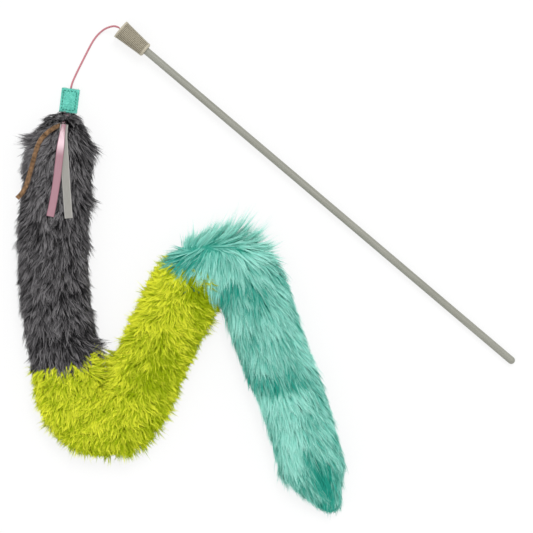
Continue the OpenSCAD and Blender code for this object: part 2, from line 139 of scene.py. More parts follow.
def ring_tube(line: Array, radius: float | Array, side: Array, up: Array, sides: int = 8) -> Array:
    """Rings of a round tube along a line.

    Args:
        line: Its middle line.
        radius: Its radius, or one for each point.
        side: The rings' first direction, or one for each point.
        up: Their second direction.
        sides: Number of points round.

    Returns:
        Points as rows, points round, coordinates.
    """
    turn = np.linspace(0, FULL_TURN, sides, endpoint=False)[:, None]
    round_line = side[..., None, :] * np.cos(turn) + up[..., None, :] * np.sin(turn)
    return line[:, None] + np.reshape(radius, (-1, 1, 1)) * round_line


def tube_map(across: Array, along: Array) -> Array:
    """Map coordinates of a tube's points, from those across a ring and those along the rows."""
    return np.stack(np.broadcast_arrays(across[None], along[:, None]), axis=-1).reshape(-1, 2)


def lay_cord(made: bpy.types.Object, body: str, node: str) -> None:
    """Rides a cord on its body and hides the node that it replaces.

    Args:
        made: The cord's piece.
        body: The body that it rides on.
        node: The node that it replaces.
    """
    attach(made, body)
    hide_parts(node)


class NodeTree:
    """Adds nodes and links to a shader tree."""

    def __init__(self, tree: bpy.types.NodeTree) -> None:
        """Keeps the tree that the nodes go into."""
        self.tree = tree

    def feed(self, node: bpy.types.Node, inputs: dict) -> None:
        """Gives inputs of a node their values and links.

        Args:
            node: The node.
            inputs: A value or another node's socket for each named or numbered input.
        """
        for name, value in inputs.items():
            socket = node.inputs[name]
            if isinstance(value, bpy.types.NodeSocket):
                self.tree.links.new(value, socket)
            elif socket.type == "RGBA" and len(value) == 3:
                socket.default_value = (*value, 1.0)
            else:
                socket.default_value = value

    def add(self, kind: str, inputs: dict | None = None, **settings) -> bpy.types.Node:
        """Adds a node.

        Args:
            kind: Blender's name for the node's type.
            inputs: A value or another node's socket for each named or numbered input.
            **settings: Properties of the node.

        Returns:
            The new node.
        """
        node = self.tree.nodes.new(kind)
        for name, value in settings.items():
            setattr(node, name, value)
        self.feed(node, inputs or {})
        return node

    def mix(self, factor, a, b) -> bpy.types.NodeSocket:
        """Mixes two colours, each a value or a socket."""
        return self.add("ShaderNodeMix", {0: factor, 6: a, 7: b}, data_type="RGBA", clamp_factor=True).outputs[2]

    def math(self, operation: str, *values) -> bpy.types.NodeSocket:
        """Adds a Math node with values or sockets."""
        return self.add("ShaderNodeMath", dict(enumerate(values)), operation=operation).outputs[0]

    def cycles(self, operation: str, value: bpy.types.NodeSocket, pitch) -> bpy.types.NodeSocket:
        """Sine or cosine of a value, which repeats over a pitch."""
        return self.math(operation, self.math("MULTIPLY", self.math("DIVIDE", value, pitch), FULL_TURN))

    def remap(self, value: bpy.types.NodeSocket, low: float, high: float, to_low: float, to_high: float,
              smooth: bool = False) -> bpy.types.NodeSocket:
        """Moves a value from one range to another, clamped."""
        return self.add("ShaderNodeMapRange", {0: value, 1: low, 2: high, 3: to_low, 4: to_high},
                        interpolation_type="SMOOTHSTEP" if smooth else "LINEAR").outputs[0]

    def bump(self, strength: float, depth: float, height: bpy.types.NodeSocket) -> bpy.types.NodeSocket:
        """Normals of a relief, with its depth in metres."""
        return self.add("ShaderNodeBump", {"Strength": strength, "Distance": depth, "Height": height}).outputs[0]

    def noise(self, place: bpy.types.NodeSocket, scale, **inputs) -> bpy.types.NodeSocket:
        """Adds a noise texture at some scale."""
        return self.add("ShaderNodeTexNoise", {"Vector": place, "Scale": scale, **inputs}).outputs["Fac"]

    def own_map(self) -> tuple[bpy.types.NodeSocket, bpy.types.NodeSocket, bpy.types.NodeSocket]:
        """The piece's own map, and its two coordinates."""
        uv = self.add("ShaderNodeUVMap", uv_map=UV_NAME).outputs[0]
        parts = self.add("ShaderNodeSeparateXYZ", {0: uv}).outputs
        return uv, parts[0], parts[1]


class ShaderGroups:
    """Effects that several finishes share, each built once."""

    def __init__(self) -> None:
        """Builds the groups."""
        self.strand_tint = self._strand_tint()
        self.grain = self._grain()
        self.threads = self._threads()
        self.rings = self._rings()

    @staticmethod
    def _open(name: str, inputs: dict[str, str],
              outputs: dict[str, str]) -> tuple[NodeTree, bpy.types.NodeOutputs, bpy.types.Node]:
        """Starts a node group.

        Args:
            name: Name of the group.
            inputs: Kind of each named input.
            outputs: Kind of each named output.

        Returns:
            The group's tree, the sockets that bring its inputs, and the node that takes its outputs.
        """
        group = bpy.data.node_groups.new(name, "ShaderNodeTree")
        for way, sockets in (("INPUT", inputs), ("OUTPUT", outputs)):
            for socket, kind in sockets.items():
                group.interface.new_socket(name=socket, in_out=way, socket_type=f"NodeSocket{kind}")
        tree = NodeTree(group)
        return tree, tree.add("NodeGroupInput").outputs, tree.add("NodeGroupOutput")

    def _strand_tint(self) -> bpy.types.NodeTree:
        """Colour of pile from the strand's own tone and from root to tip, the darker roots being painted shade."""
        colours = {name: "Color" for name in ("Root Dark", "Root Light", "Tip Dark", "Tip Light")}
        tree, given, sink = self._open("strand_tint", {**colours, "Rise": "Float"}, {"Color": "Color"})
        _, tone, along = tree.own_map()
        root = tree.mix(tone, given["Root Dark"], given["Root Light"])
        tip = tree.mix(tone, given["Tip Dark"], given["Tip Light"])
        tree.feed(sink, {"Color": tree.mix(tree.math("POWER", along, given["Rise"]), root, tip)})
        return tree.tree

    def _grain(self) -> bpy.types.NodeTree:
        """Fine and coarse mottling, stretched if the vector is."""
        tree, given, sink = self._open("grain", {"Vector": "Vector", "Scale": "Float", "Coarse": "Float"},
                                       {"Mask": "Float", "Fine": "Float"})
        fine = tree.noise(given["Vector"], given["Scale"], Detail=4.0, Roughness=0.6)
        wide = tree.noise(given["Vector"], tree.math("MULTIPLY", given["Scale"], 0.14), Detail=2.0)
        both = tree.add("ShaderNodeMix", {0: given["Coarse"], 2: fine, 3: wide}).outputs[0]
        tree.feed(sink, {"Mask": tree.remap(both, 0.32, 0.68, 0.0, 1.0), "Fine": fine})
        return tree.tree

    def _rings(self) -> bpy.types.NodeTree:
        """Mask of the grooves between turned rings, which lie across an axis."""
        tree, given, sink = self._open(
            "rings", {"Vector": "Vector", "Origin": "Vector", "Axis": "Vector", "Start": "Float", "End": "Float",
                      "Pitch": "Float"}, {"Groove": "Float"})
        away = tree.add("ShaderNodeVectorMath", {0: given["Vector"], 1: given["Origin"]}, operation="SUBTRACT")
        along = tree.add("ShaderNodeVectorMath", {0: away.outputs[0], 1: given["Axis"]},
                         operation="DOT_PRODUCT").outputs["Value"]
        wave = tree.cycles("COSINE", tree.math("SUBTRACT", along, given["Start"]), given["Pitch"])
        inside = tree.math("MULTIPLY", tree.math("GREATER_THAN", along, given["Start"]),
                           tree.math("LESS_THAN", along, given["End"]))
        tree.feed(sink, {"Groove": tree.math("MULTIPLY", tree.remap(wave, -0.45, 0.75, 0.0, 1.0, smooth=True),
                                             inside)})
        return tree.tree

    def _threads(self) -> bpy.types.NodeTree:
        """Threads across and along a strip, from its own map, which runs from 0 to 1 both ways."""
        tree, given, sink = self._open("threads", {"Across Pitch": "Float", "Along Pitch": "Float"},
                                       {"Height": "Float", "Slub": "Float", "Edge": "Float"})
        uv, across, along = tree.own_map()
        ribs = tree.cycles("SINE", along, given["Along Pitch"])
        warps = tree.cycles("SINE", across, given["Across Pitch"])
        edge = tree.math("ABSOLUTE", tree.math("SUBTRACT", across, 0.5))
        tree.feed(sink, {
            "Height": tree.math("ADD", tree.math("MULTIPLY", ribs, 0.5), tree.math("MULTIPLY", warps, 0.25)),
            "Slub": tree.noise(uv, 14.0, Detail=2.0), "Edge": tree.remap(edge, 0.38, 0.46, 0.0, 1.0)})
        return tree.tree


def new_material(name: str, roughness: float, specular: float) -> tuple[bpy.types.Material, NodeTree, bpy.types.Node]:
    """Starts a material with a Principled shader.

    Args:
        name: Name of the finish.
        roughness: Roughness where nothing is linked to it.
        specular: Specular level.

    Returns:
        The material, its tree and its shader node.
    """
    material = bpy.data.materials.new(name)
    material.use_nodes = True
    tree = NodeTree(material.node_tree)
    shader = material.node_tree.nodes["Principled BSDF"]
    tree.feed(shader, {"Roughness": roughness, "Specular IOR Level": specular})
    return material, tree, shader


@dataclass(frozen=True)
class PileFinish:
    """Colours of one pile, dark and light, at the roots and at the tips. The roots are written darker than the tips as
    painted shade deep in the pile.
    """

    root_dark: Colour
    root_light: Colour
    tip_dark: Colour
    tip_light: Colour
    rise: float
    roughness: float = 0.6
    specular: float = 0.12

    def dress(self, name: str, groups: ShaderGroups) -> bpy.types.Material:
        """Makes the material of the pile."""
        material, tree, shader = new_material(name, self.roughness, self.specular)
        tint = tree.add("ShaderNodeGroup", {
            "Root Dark": self.root_dark, "Root Light": self.root_light, "Tip Dark": self.tip_dark,
            "Tip Light": self.tip_light, "Rise": self.rise}, node_tree=groups.strand_tint)
        tree.feed(shader, {"Base Color": tint.outputs["Color"]})
        return material


@dataclass(frozen=True)
class GrainFinish:
    """Finish with mottled colour and a grained surface, on the object's own coordinates."""

    dark: Colour
    light: Colour
    scale: float
    coarse: float
    rough_low: float
    rough_high: float
    bump: float
    bump_depth: float = 0.0002
    stretch: tuple[float, float, float] = (1.0, 1.0, 1.0)
    turn: float = 0.0
    sheen: float = 0.0
    specular: float = 0.4

    def dress(self, name: str, groups: ShaderGroups) -> bpy.types.Material:
        """Makes the material."""
        material, tree, shader = new_material(name, self.rough_high, self.specular)
        place = tree.add("ShaderNodeTexCoord").outputs["Object"]
        turned = tree.add("ShaderNodeMapping", {"Vector": place, "Rotation": (0.0, 0.0, self.turn)}).outputs[0]
        drawn = tree.add("ShaderNodeMapping", {"Vector": turned, "Scale": self.stretch}).outputs[0]
        grain = tree.add("ShaderNodeGroup", {"Vector": drawn, "Scale": self.scale, "Coarse": self.coarse},
                         node_tree=groups.grain).outputs
        tree.feed(shader, {
            "Base Color": tree.mix(grain["Mask"], self.dark, self.light),
            "Roughness": tree.remap(grain["Mask"], 0.0, 1.0, self.rough_low, self.rough_high),
            "Normal": tree.bump(self.bump, self.bump_depth, grain["Fine"]), "Sheen Weight": self.sheen})
        return material


@dataclass(frozen=True)
class RingFinish:
    """Finish of the turned cap: pale crests, and grooves darkened with painted shade, broken up by grain. Lengths in
    millimetres.
    """

    crest: Colour
    groove: Colour
    origin: tuple[float, float, float]
    axis: tuple[float, float, float]
    start: float
    end: float
    pitch: float
    roughness: float
    groove_roughness: float = 0.9
    specular: float = 0.35
    grain_scale: float = 1500.0
    grain_coarse: float = 0.5
    least_dust: float = 0.55
    bump: float = 0.2
    bump_depth: float = 0.0001

    def dress(self, name: str, groups: ShaderGroups) -> bpy.types.Material:
        """Makes the material."""
        material, tree, shader = new_material(name, self.roughness, self.specular)
        place = tree.add("ShaderNodeTexCoord").outputs["Object"]
        rings = tree.add("ShaderNodeGroup", {
            "Vector": place, "Origin": tuple(value * MM for value in self.origin), "Axis": self.axis,
            "Start": self.start * MM, "End": self.end * MM, "Pitch": self.pitch * MM}, node_tree=groups.rings)
        grain = tree.add("ShaderNodeGroup", {"Vector": place, "Scale": self.grain_scale,
                                             "Coarse": self.grain_coarse}, node_tree=groups.grain).outputs
        # The groove colour is painted shade laid into the ring grooves, broken up by grain.
        shade_grain = tree.remap(grain["Mask"], 0.0, 1.0, self.least_dust, 1.0)
        shade_mask = tree.math("MULTIPLY", rings.outputs["Groove"], shade_grain)
        tree.feed(shader, {
            "Base Color": tree.mix(shade_mask, self.crest, self.groove),
            "Roughness": tree.remap(shade_mask, 0.0, 1.0, self.roughness, self.groove_roughness),
            "Normal": tree.bump(self.bump, self.bump_depth, grain["Fine"])})
        return material


@dataclass(frozen=True)
class WovenFinish:
    """Finish of a woven strip: ground colour, edge colour, thread relief, gloss and an optional painted highlight band
    along the strip.
    """

    dark: Colour
    light: Colour
    edge: Colour
    across_pitch: float
    along_pitch: float
    roughness: float
    bump: float
    sheen: float
    anisotropic: float = 0.0
    polish: Colour | None = None
    polish_at: tuple[float, float] = (0.2, 0.16)
    specular: float = 0.5
    bump_depth: float = 0.0001

    def dress(self, name: str, groups: ShaderGroups) -> bpy.types.Material:
        """Makes the material."""
        material, tree, shader = new_material(name, self.roughness, self.specular)
        threads = tree.add("ShaderNodeGroup", {"Across Pitch": self.across_pitch, "Along Pitch": self.along_pitch},
                           node_tree=groups.threads).outputs
        body = tree.mix(threads["Slub"], self.dark, self.light)
        # A paler band across the strip near its start is a painted highlight.
        if self.polish:
            middle, reach = self.polish_at
            away = tree.math("ABSOLUTE", tree.math("SUBTRACT", tree.own_map()[2], middle))
            body = tree.mix(tree.remap(away, 0.0, reach, 1.0, 0.0, smooth=True), body, self.polish)
        tree.feed(shader, {
            "Base Color": tree.mix(threads["Edge"], body, self.edge),
            "Normal": tree.bump(self.bump, self.bump_depth, threads["Height"]),
            "Sheen Weight": self.sheen, "Anisotropic": self.anisotropic})
        return material


class Finishes:
    """All finishes of the wand, one for each kind of surface."""

    ROD_TURN = math.radians(40.27)
    RINGS_START, RINGS_END, RING_COUNT = 1.6, 25.8, 21

    def __init__(self) -> None:
        """Builds every material."""
        groups = ShaderGroups()
        self.rod = GrainFinish(srgb(134, 134, 123), srgb(156, 156, 146), 900, 0.5, 0.34, 0.46, 0.12,
                               stretch=(0.06, 1.0, 1.0), turn=self.ROD_TURN).dress("rod_plastic_drawn", groups)
        # The cap's dark groove colour is painted shade in the ring grooves.
        self.cap = RingFinish(srgb(186, 178, 158), srgb(92, 86, 70), CAP_EXIT, CAP_AXIS, self.RINGS_START,
                              self.RINGS_END, (self.RINGS_END - self.RINGS_START) / self.RING_COUNT,
                              0.45).dress("cap_turned", groups)
        self.felt = GrainFinish(srgb(56, 164, 146), srgb(142, 240, 222), 1100, 0.3, 0.85, 0.98, 0.9, 0.0004,
                                sheen=0.3, specular=0.1).dress("felt_pressed", groups)
        self.felt_thread = GrainFinish(srgb(38, 110, 100), srgb(60, 140, 128), 3000, 0.2, 0.6, 0.8, 0.5,
                                       specular=0.2).dress("sewing_thread", groups)
        self.cord = WovenFinish(srgb(172, 98, 110), srgb(216, 142, 152), srgb(226, 162, 170), 0.2, 0.12, 0.62,
                                0.5, 0.15).dress("cord_twisted", groups)
        # The satin's pale band near the ribbon's start is a painted highlight.
        self.satin = WovenFinish(srgb(160, 117, 128), srgb(174, 132, 142), srgb(150, 106, 118), 0.1, 0.006, 0.22,
                                 0.08, 0.1, 0.5, polish=srgb(238, 208, 216)).dress("satin_smooth", groups)
        self.ribbed = WovenFinish(srgb(140, 137, 131), srgb(160, 158, 152), srgb(182, 180, 175), 0.09, 0.0105,
                                  0.6, 0.5, 0.15).dress("ribbed_weave", groups)
        self.suede = GrainFinish(srgb(50, 36, 24), srgb(162, 126, 92), 380, 0.15, 0.86, 0.98, 0.8, 0.0003,
                                 sheen=0.25, specular=0.1).dress("suede_nap", groups)
        # The pile's root colours are darker than its tips, which paints the shade deep in the pile.
        self.gray_pile, self.lime_pile, self.teal_pile = (
            PileFinish(*(srgb(*colour) for colour in colours), rise).dress(f"{name}_pile", groups)
            for name, rise, colours in (
                ("gray", 1.1, ((7, 6, 8), (24, 22, 25), (14, 13, 16), (172, 169, 171))),
                ("lime", 0.52, ((66, 92, 0), (220, 236, 0), (178, 202, 0), (255, 255, 76))),
                ("teal", 0.7, ((20, 138, 120), (78, 206, 184), (40, 182, 160), (200, 255, 244)))))
        # The backing colours are darker than the pile, painted shade for the shadowed roots of the fur.
        self.gray_back, self.lime_back, self.teal_back = (
            GrainFinish(srgb(*dark), srgb(*light), 1100, 0.4, 0.9, 1.0, 0.8, 0.0004,
                        specular=0.1).dress(f"{name}_backing_knit", groups)
            for name, dark, light in (("gray", (36, 33, 38), (58, 54, 60)), ("lime", (128, 150, 10), (168, 188, 20)),
                                      ("teal", (40, 138, 120), (66, 164, 144))))


class Workbench:
    """Turns points and faces into pieces, and works on them with Blender's own tools."""

    BLADE_CORNERS = (0, 1, 3, 2, 2, 3, 5, 4, 4, 5, 6)
    BLADE_FACES = (0, 4, 8)
    BLADE_POINTS = 7

    @staticmethod
    def show(name: str, mesh: bpy.types.Mesh, material: bpy.types.Material, slot: str) -> bpy.types.Object:
        """Puts a mesh into the scene with its finish."""
        mesh.materials.append(material)
        mesh.update(calc_edges=True)
        made = bpy.data.objects.new(name, mesh)
        bpy.context.scene.collection.objects.link(made)
        return made

    @classmethod
    def closed(cls, name: str, tubes: list[Array], material: bpy.types.Material, slot: str,
               uv: Array | None = None, smooth: bool = True) -> bpy.types.Object:
        """Makes a piece of one or more closed tubes, with their faces outwards.

        Args:
            name: Name of the piece.
            tubes: Points of each tube in metres, as rows, points round, coordinates.
            material: Its finish.
            slot: The slot that the finish stands for; not used.
            uv: Map coordinates of each point, if it has a map.
            smooth: Whether its faces are shaded smooth.

        Returns:
            The new object.
        """
        points, faces = np.vstack([rings.reshape(-1, 3) for rings in tubes]), []
        first = 0
        for rings in tubes:
            rows, sides = rings.shape[:2]
            grid = first + np.arange(rows * sides).reshape(rows, sides)
            near, far = grid[:-1], grid[1:]
            quads = np.stack([near, np.roll(near, -1, 1), np.roll(far, -1, 1), far], axis=-1)
            faces += [*quads.reshape(-1, 4).tolist(), grid[0][::-1].tolist(), grid[-1].tolist()]
            first += rows * sides
        mesh = bpy.data.meshes.new(name)
        mesh.from_pydata(points.tolist(), [], faces)
        if uv is not None:
            layer = mesh.uv_layers.new(name=UV_NAME)
            corners = np.zeros(len(mesh.loops), np.int32)
            mesh.loops.foreach_get("vertex_index", corners)
            layer.data.foreach_set("uv", np.asarray(uv, np.float32)[corners].ravel())
        mesh.polygons.foreach_set("use_smooth", [smooth] * len(mesh.polygons))
        mesh.validate()
        made = cls.show(name, mesh, material, slot)
        shell = bmesh.new()
        shell.from_mesh(mesh)
        bmesh.ops.recalc_face_normals(shell, faces=shell.faces)
        shell.to_mesh(mesh)
        shell.free()
        return made

    @staticmethod
    def blades(line: Array, half: Array) -> Array:
        """Points of flat strands: two at each of three levels and one at the tip.

        Args:
            line: Four points along each strand.
            half: Half its width at each, as a vector.

        Returns:
            Seven points for each strand.
        """
        left, right = line - half, line + half
        return np.stack([left[:, 0], right[:, 0], left[:, 1], right[:, 1], left[:, 2], right[:, 2], line[:, 3]], 1)

    @classmethod
    def strand_mesh(cls, name: str, points: Array, uv: Array, finish: bpy.types.Material,
                    slot: str) -> bpy.types.Object:
        """Makes one piece of pile.

        Args:
            name: Name of the piece.
            points: Seven points for each strand, in metres.
            uv: Their map coordinates.
            finish: Its finish.
            slot: Not used.

        Returns:
            The piece.
        """
        numbers = np.arange(len(points))[:, None]
        corners = (numbers * cls.BLADE_POINTS + np.array(cls.BLADE_CORNERS)).ravel()
        starts = (numbers * len(cls.BLADE_CORNERS) + np.array(cls.BLADE_FACES)).ravel()
        mesh = bpy.data.meshes.new(name)
        mesh.vertices.add(len(points) * cls.BLADE_POINTS)
        mesh.vertices.foreach_set("co", points.astype(np.float32).ravel())
        mesh.loops.add(len(corners))
        mesh.loops.foreach_set("vertex_index", corners.astype(np.int32))
        mesh.polygons.add(len(starts))
        mesh.polygons.foreach_set("loop_start", starts.astype(np.int32))
        layer = mesh.uv_layers.new(name=UV_NAME)
        layer.data.foreach_set("uv", uv.reshape(-1, 2)[corners].astype(np.float32).ravel())
        mesh.polygons.foreach_set("use_smooth", np.ones(len(starts), bool))
        return cls.show(name, mesh, finish, slot)

    @staticmethod
    def choose(made: bpy.types.Object) -> None:
        """Selects one object only and makes it the active one."""
        for other in bpy.context.selected_objects:
            other.select_set(False)
        made.select_set(True)
        bpy.context.view_layer.objects.active = made

    @classmethod
    def modify(cls, made: bpy.types.Object, kind: str, **settings) -> None:
        """Adds a modifier and applies it."""
        cls.choose(made)
        modifier = made.modifiers.new(kind.lower(), kind)
        for name, value in settings.items():
            setattr(modifier, name, value)
        bpy.ops.object.modifier_apply(modifier=modifier.name)


@dataclass(frozen=True)
class Stretch:
    """A stretch of the tail's middle line: its length in millimetres and the angle that it turns."""

    run: float
    turn: float


@dataclass
class TailLine:
    """The tail's middle line and its sections, as in the CAD model, in millimetres and degrees."""

    start: tuple[float, float, float] = (-167.613, 129.5476, -103.5)
    gray_run: float = 235.0
    elbow_r: float = 30.0
    elbow_turn: float = 141.0
    lime_run: float = 94.0
    fold_r: float = 33.4
    fold_turn: float = 134.0
    teal_run: float = 84.0
    tip_run: float = 66.0
    kink_share: float = 0.35
    point_len: float = 38.0
    gray_turn: float = 27.0
    tip_turn: float = 4.0
    point_turn: float = 21.0
    gray_w: float = 52.0
    lime_w: float = 54.0
    teal_w: float = 54.0
    tip_w: float = 48.0
    blunt_w: float = 9.0
    blunt_h: float = 8.0
    sleeve_h: float = 24.0
    swell_len: float = 22.0
    shoulder_len: float = 22.0
    neck_len: float = 1.4
    tongue_w: float = 9.4
    tongue_t: float = 2.0
    tongue_z: float = 1.8
    rest_flat: float = 0.5
    square_share: float = 0.82
    lime_seam_at: float = 208.0
    gray_bend_at: float = 106.0
    elbow_shares: tuple[float, ...] = (1 / 6, 3 / 6, 5 / 6)
    fold_shares: tuple[float, ...] = (0.215, 0.5, 0.785)
    tip_crease_back: float = 4.0
    sway: tuple[tuple[float, float], ...] = (
        (30, -0.5), (70, -2.4), (110, -1.8), (150, -2.4), (205, -3.8), (240, -3.6), (258, -1.2), (274, 1.4),
        (300, 1.6), (325, -0.3), (400, -0.5), (425, -1.5), (455, -2.0), (480, 0.4), (520, 2.0), (560, 1.6),
        (620, 1.4), (645, -0.8))
    stretches: list[Stretch] = field(default_factory=list)

    def __post_init__(self) -> None:
        """Works out the stretches and the places along the line."""
        elbow_run = math.radians(self.elbow_turn) * self.elbow_r
        fold_run = math.radians(self.fold_turn) * self.fold_r
        self.elbow_start = self.gray_run
        self.fold_start = self.elbow_start + elbow_run + self.lime_run
        self.teal_start = self.fold_start + fold_run
        self.point_start = self.teal_start + self.teal_run + self.tip_run
        self.end = self.point_start + self.point_len
        self.elbow_at = [self.elbow_start + share * elbow_run for share in self.elbow_shares]
        self.fold_at = [self.fold_start + share * fold_run for share in self.fold_shares]
        self.tip_bend_at = self.teal_start + self.teal_run - self.tip_crease_back
        self.stretches = [
            Stretch(self.gray_run, self.gray_turn), Stretch(elbow_run, self.elbow_turn), Stretch(self.lime_run, 0),
            Stretch(fold_run, -self.fold_turn), Stretch(self.teal_run, 0),
            Stretch(self.tip_run * self.kink_share, -self.tip_turn),
            Stretch(self.tip_run * (1 - self.kink_share), 0), Stretch(self.point_len, self.point_turn)]

    def place(self, dist: Array) -> tuple[Array, Array, Array]:
        """Place and heading on the middle line.

        Args:
            dist: Distances from the tab.

        Returns:
            The x and y places, and the headings in radians.
        """
        dist = np.asarray(dist, float)
        x, y, h = self.start[0], self.start[1], math.radians(self.start[2])
        out_x, out_y, out_h = np.full(dist.shape, x), np.full(dist.shape, y), np.full(dist.shape, h)
        begin = 0.0
        for index, stretch in enumerate(self.stretches):
            here = dist >= begin if index else np.full(dist.shape, True)
            step = dist - begin
            if stretch.turn:
                r = stretch.run / math.radians(stretch.turn)
                heading = h + np.maximum(step, 0) / r
                new_x, new_y = x + r * (np.sin(heading) - math.sin(h)), y + r * (math.cos(h) - np.cos(heading))
                before = np.minimum(step, 0)
                new_x, new_y = new_x + before * math.cos(h), new_y + before * math.sin(h)
            else:
                heading = np.full(dist.shape, h)
                new_x, new_y = x + step * math.cos(h), y + step * math.sin(h)
            out_x, out_y, out_h = (np.where(here, new, old) for new, old in
                                   ((new_x, out_x), (new_y, out_y), (heading, out_h)))
            if stretch.turn:
                last = h + math.radians(stretch.turn)
                x, y, h = x + r * (math.sin(last) - math.sin(h)), y + r * (math.cos(h) - math.cos(last)), last
            else:
                x, y = x + stretch.run * math.cos(h), y + stretch.run * math.sin(h)
            begin += stretch.run
        return out_x, out_y, out_h

    def swell(self, dist: Array, over: float | None = None) -> Array:
        """How far the neck has swollen, in height or over another length."""
        share = np.clip((dist - self.neck_len) / (over or self.swell_len), 0, 1)
        return np.sin(np.pi / 2 * share) ** self.square_share

    def width(self, dist: Array) -> Array:
        """Width of the sleeve."""
        narrow = np.clip((dist - self.point_start) / self.point_len, 0, 1)
        marks = [self.gray_bend_at, self.lime_seam_at, self.elbow_start, self.fold_start, self.teal_start,
                 self.point_start]
        body = np.interp(dist, marks, [self.gray_w, self.gray_w, self.lime_w, self.lime_w, self.teal_w, self.tip_w])
        body = body - (self.tip_w - self.blunt_w) * narrow
        neck = self.tongue_w + (self.gray_w - self.tongue_w) * self.swell(dist, self.shoulder_len)
        return np.where(dist < self.gray_bend_at, neck, body)

    def top(self, dist: Array) -> Array:
        """Height of the sleeve's crown above its underside."""
        narrow = np.clip((dist - self.point_start) / self.point_len, 0, 1)
        neck = self.tongue_t + (self.sleeve_h - self.tongue_t) * self.swell(dist)
        body = self.sleeve_h - (self.sleeve_h - self.blunt_h) * narrow
        return np.where(dist < self.gray_bend_at, neck, body)

    def lift(self, dist: Array) -> Array:
        """Height of the sleeve's underside."""
        return self.tongue_z * (1 - self.swell(2 * np.asarray(dist, float)))

    def plan(self, dist: Array, side: Array) -> Array:
        """Places in the plan.

        Args:
            dist: Distances from the tab.
            side: Distances to the right of the middle line, before the fabric settles to the side.

        Returns:
            The x and y places, in millimetres.
        """
        x, y, heading = self.place(dist)
        side = side + np.interp(dist, *zip(*self.sway))
        return np.stack([x + side * np.sin(heading), y - side * np.cos(heading)], axis=-1)

    def aside(self, points: Array, dist: Array) -> Array:
        """How far points lie to the right of the middle line at their distances."""
        x, y, heading = self.place(dist)
        return (points[:, 0] - x) * np.sin(heading) - (points[:, 1] - y) * np.cos(heading)

    def surface(self, dist: Array, angle: Array) -> Array:
        """Points on the sleeve.

        Args:
            dist: Distances from the tab.
            angle: Angles round the section, 0 at the right and a quarter turn at the crown.

        Returns:
            Points in millimetres.
        """
        cos, sin = np.cos(angle), np.sin(angle)
        h = self.top(dist) + self.rest_flat
        z = np.maximum(0, h / 2 * (1 + squared_off(sin, self.square_share)) - self.rest_flat)
        plan = self.plan(dist, self.width(dist) / 2 * squared_off(cos, self.square_share))
        return np.concatenate([plan, (self.lift(dist) + z)[..., None]], axis=-1)


class Fleece:
    """The tail's surface as a grid, for finding places, normals and directions on it."""

    END_MARGIN = 2.5

    def __init__(self, line: TailLine) -> None:
        """Samples the surface.

        Args:
            line: The tail's middle line and sections.
        """
        self.line = line
        self.rows, self.columns = 688, 144
        self.first, self.last = 0.0, line.end - self.END_MARGIN
        dist = np.linspace(self.first, self.last, self.rows)
        angle = np.linspace(0, FULL_TURN, self.columns, endpoint=False)
        grid_dist, grid_angle = np.meshgrid(dist, angle, indexing="ij")
        points = line.surface(grid_dist, grid_angle)
        self.along = np.gradient(points, dist, axis=0)
        wrapped = np.concatenate([points[:, -2:], points, points[:, :2]], axis=1)
        step = angle[1] - angle[0]
        self.round = (np.roll(wrapped, -1, 1) - np.roll(wrapped, 1, 1))[:, 2:-2] / (2 * step)
        normals = np.cross(self.along, self.round)
        self.area = np.linalg.norm(normals, axis=-1) * step * (dist[1] - dist[0])
        for _ in range(2):
            normals = normals + np.roll(normals, 1, 1) + np.roll(normals, -1, 1)
        self.points, self.normals = points, unit(normals)
        self.dist, self.angle = grid_dist, grid_angle

    def look(self, dist: Array, angle: Array) -> tuple[Array, Array, Array, Array]:
        """Point, normal and the two tangents at places on the surface, by interpolation."""
        row = np.clip((dist - self.first) / (self.last - self.first) * (self.rows - 1), 0, self.rows - 1.001)
        column = (angle / FULL_TURN % 1) * self.columns
        i, j = row.astype(int), column.astype(int) % self.columns
        fi, fj = (row - i)[:, None], (column - np.floor(column))[:, None]
        found = []
        for grid in (self.points, self.normals, self.along, self.round):
            k = (j + 1) % self.columns
            found.append((grid[i, j] * (1 - fj) + grid[i, k] * fj) * (1 - fi)
                         + (grid[i + 1, j] * (1 - fj) + grid[i + 1, k] * fj) * fi)
        return found[0], unit(found[1]), found[2], found[3]


@dataclass(frozen=True)
class Coat:
    """One colour's pile: how long, dense, curly and tousled it is, and how it was combed.

    Strokes are x, y and heading of the comb, pile lift and tone; the stroke tones paint shade into
    valleys and creases and highlights onto bulges. Partings are x, y of both ends, reach, depth of the
    dark side on the left, which flattens the pile and paints shade there, and gain of the light side on
    the right, which is a painted highlight. Tufts are x, y, reach, how many times longer the pile is and
    how freely it stands off. Lengths are in millimetres and angles in degrees.
    """

    name: str
    slot: str
    strand_len: float
    pile: float
    strand_w: float
    lock_r: float
    locks_per_mm2: float
    wisps_per_lock: int
    strands_per_wisp: int
    wisp_r: float
    gather: float
    wave: float
    wave_count: float
    tousle: float
    droop: float
    flank_drop: float
    free: float
    stray: float
    ragged: float
    tone_noise: float
    tone_gain: float
    seed: int
    strokes: tuple[tuple[float, ...], ...]
    partings: tuple[tuple[float, ...], ...]
    tufts: tuple[tuple[float, ...], ...] = ()


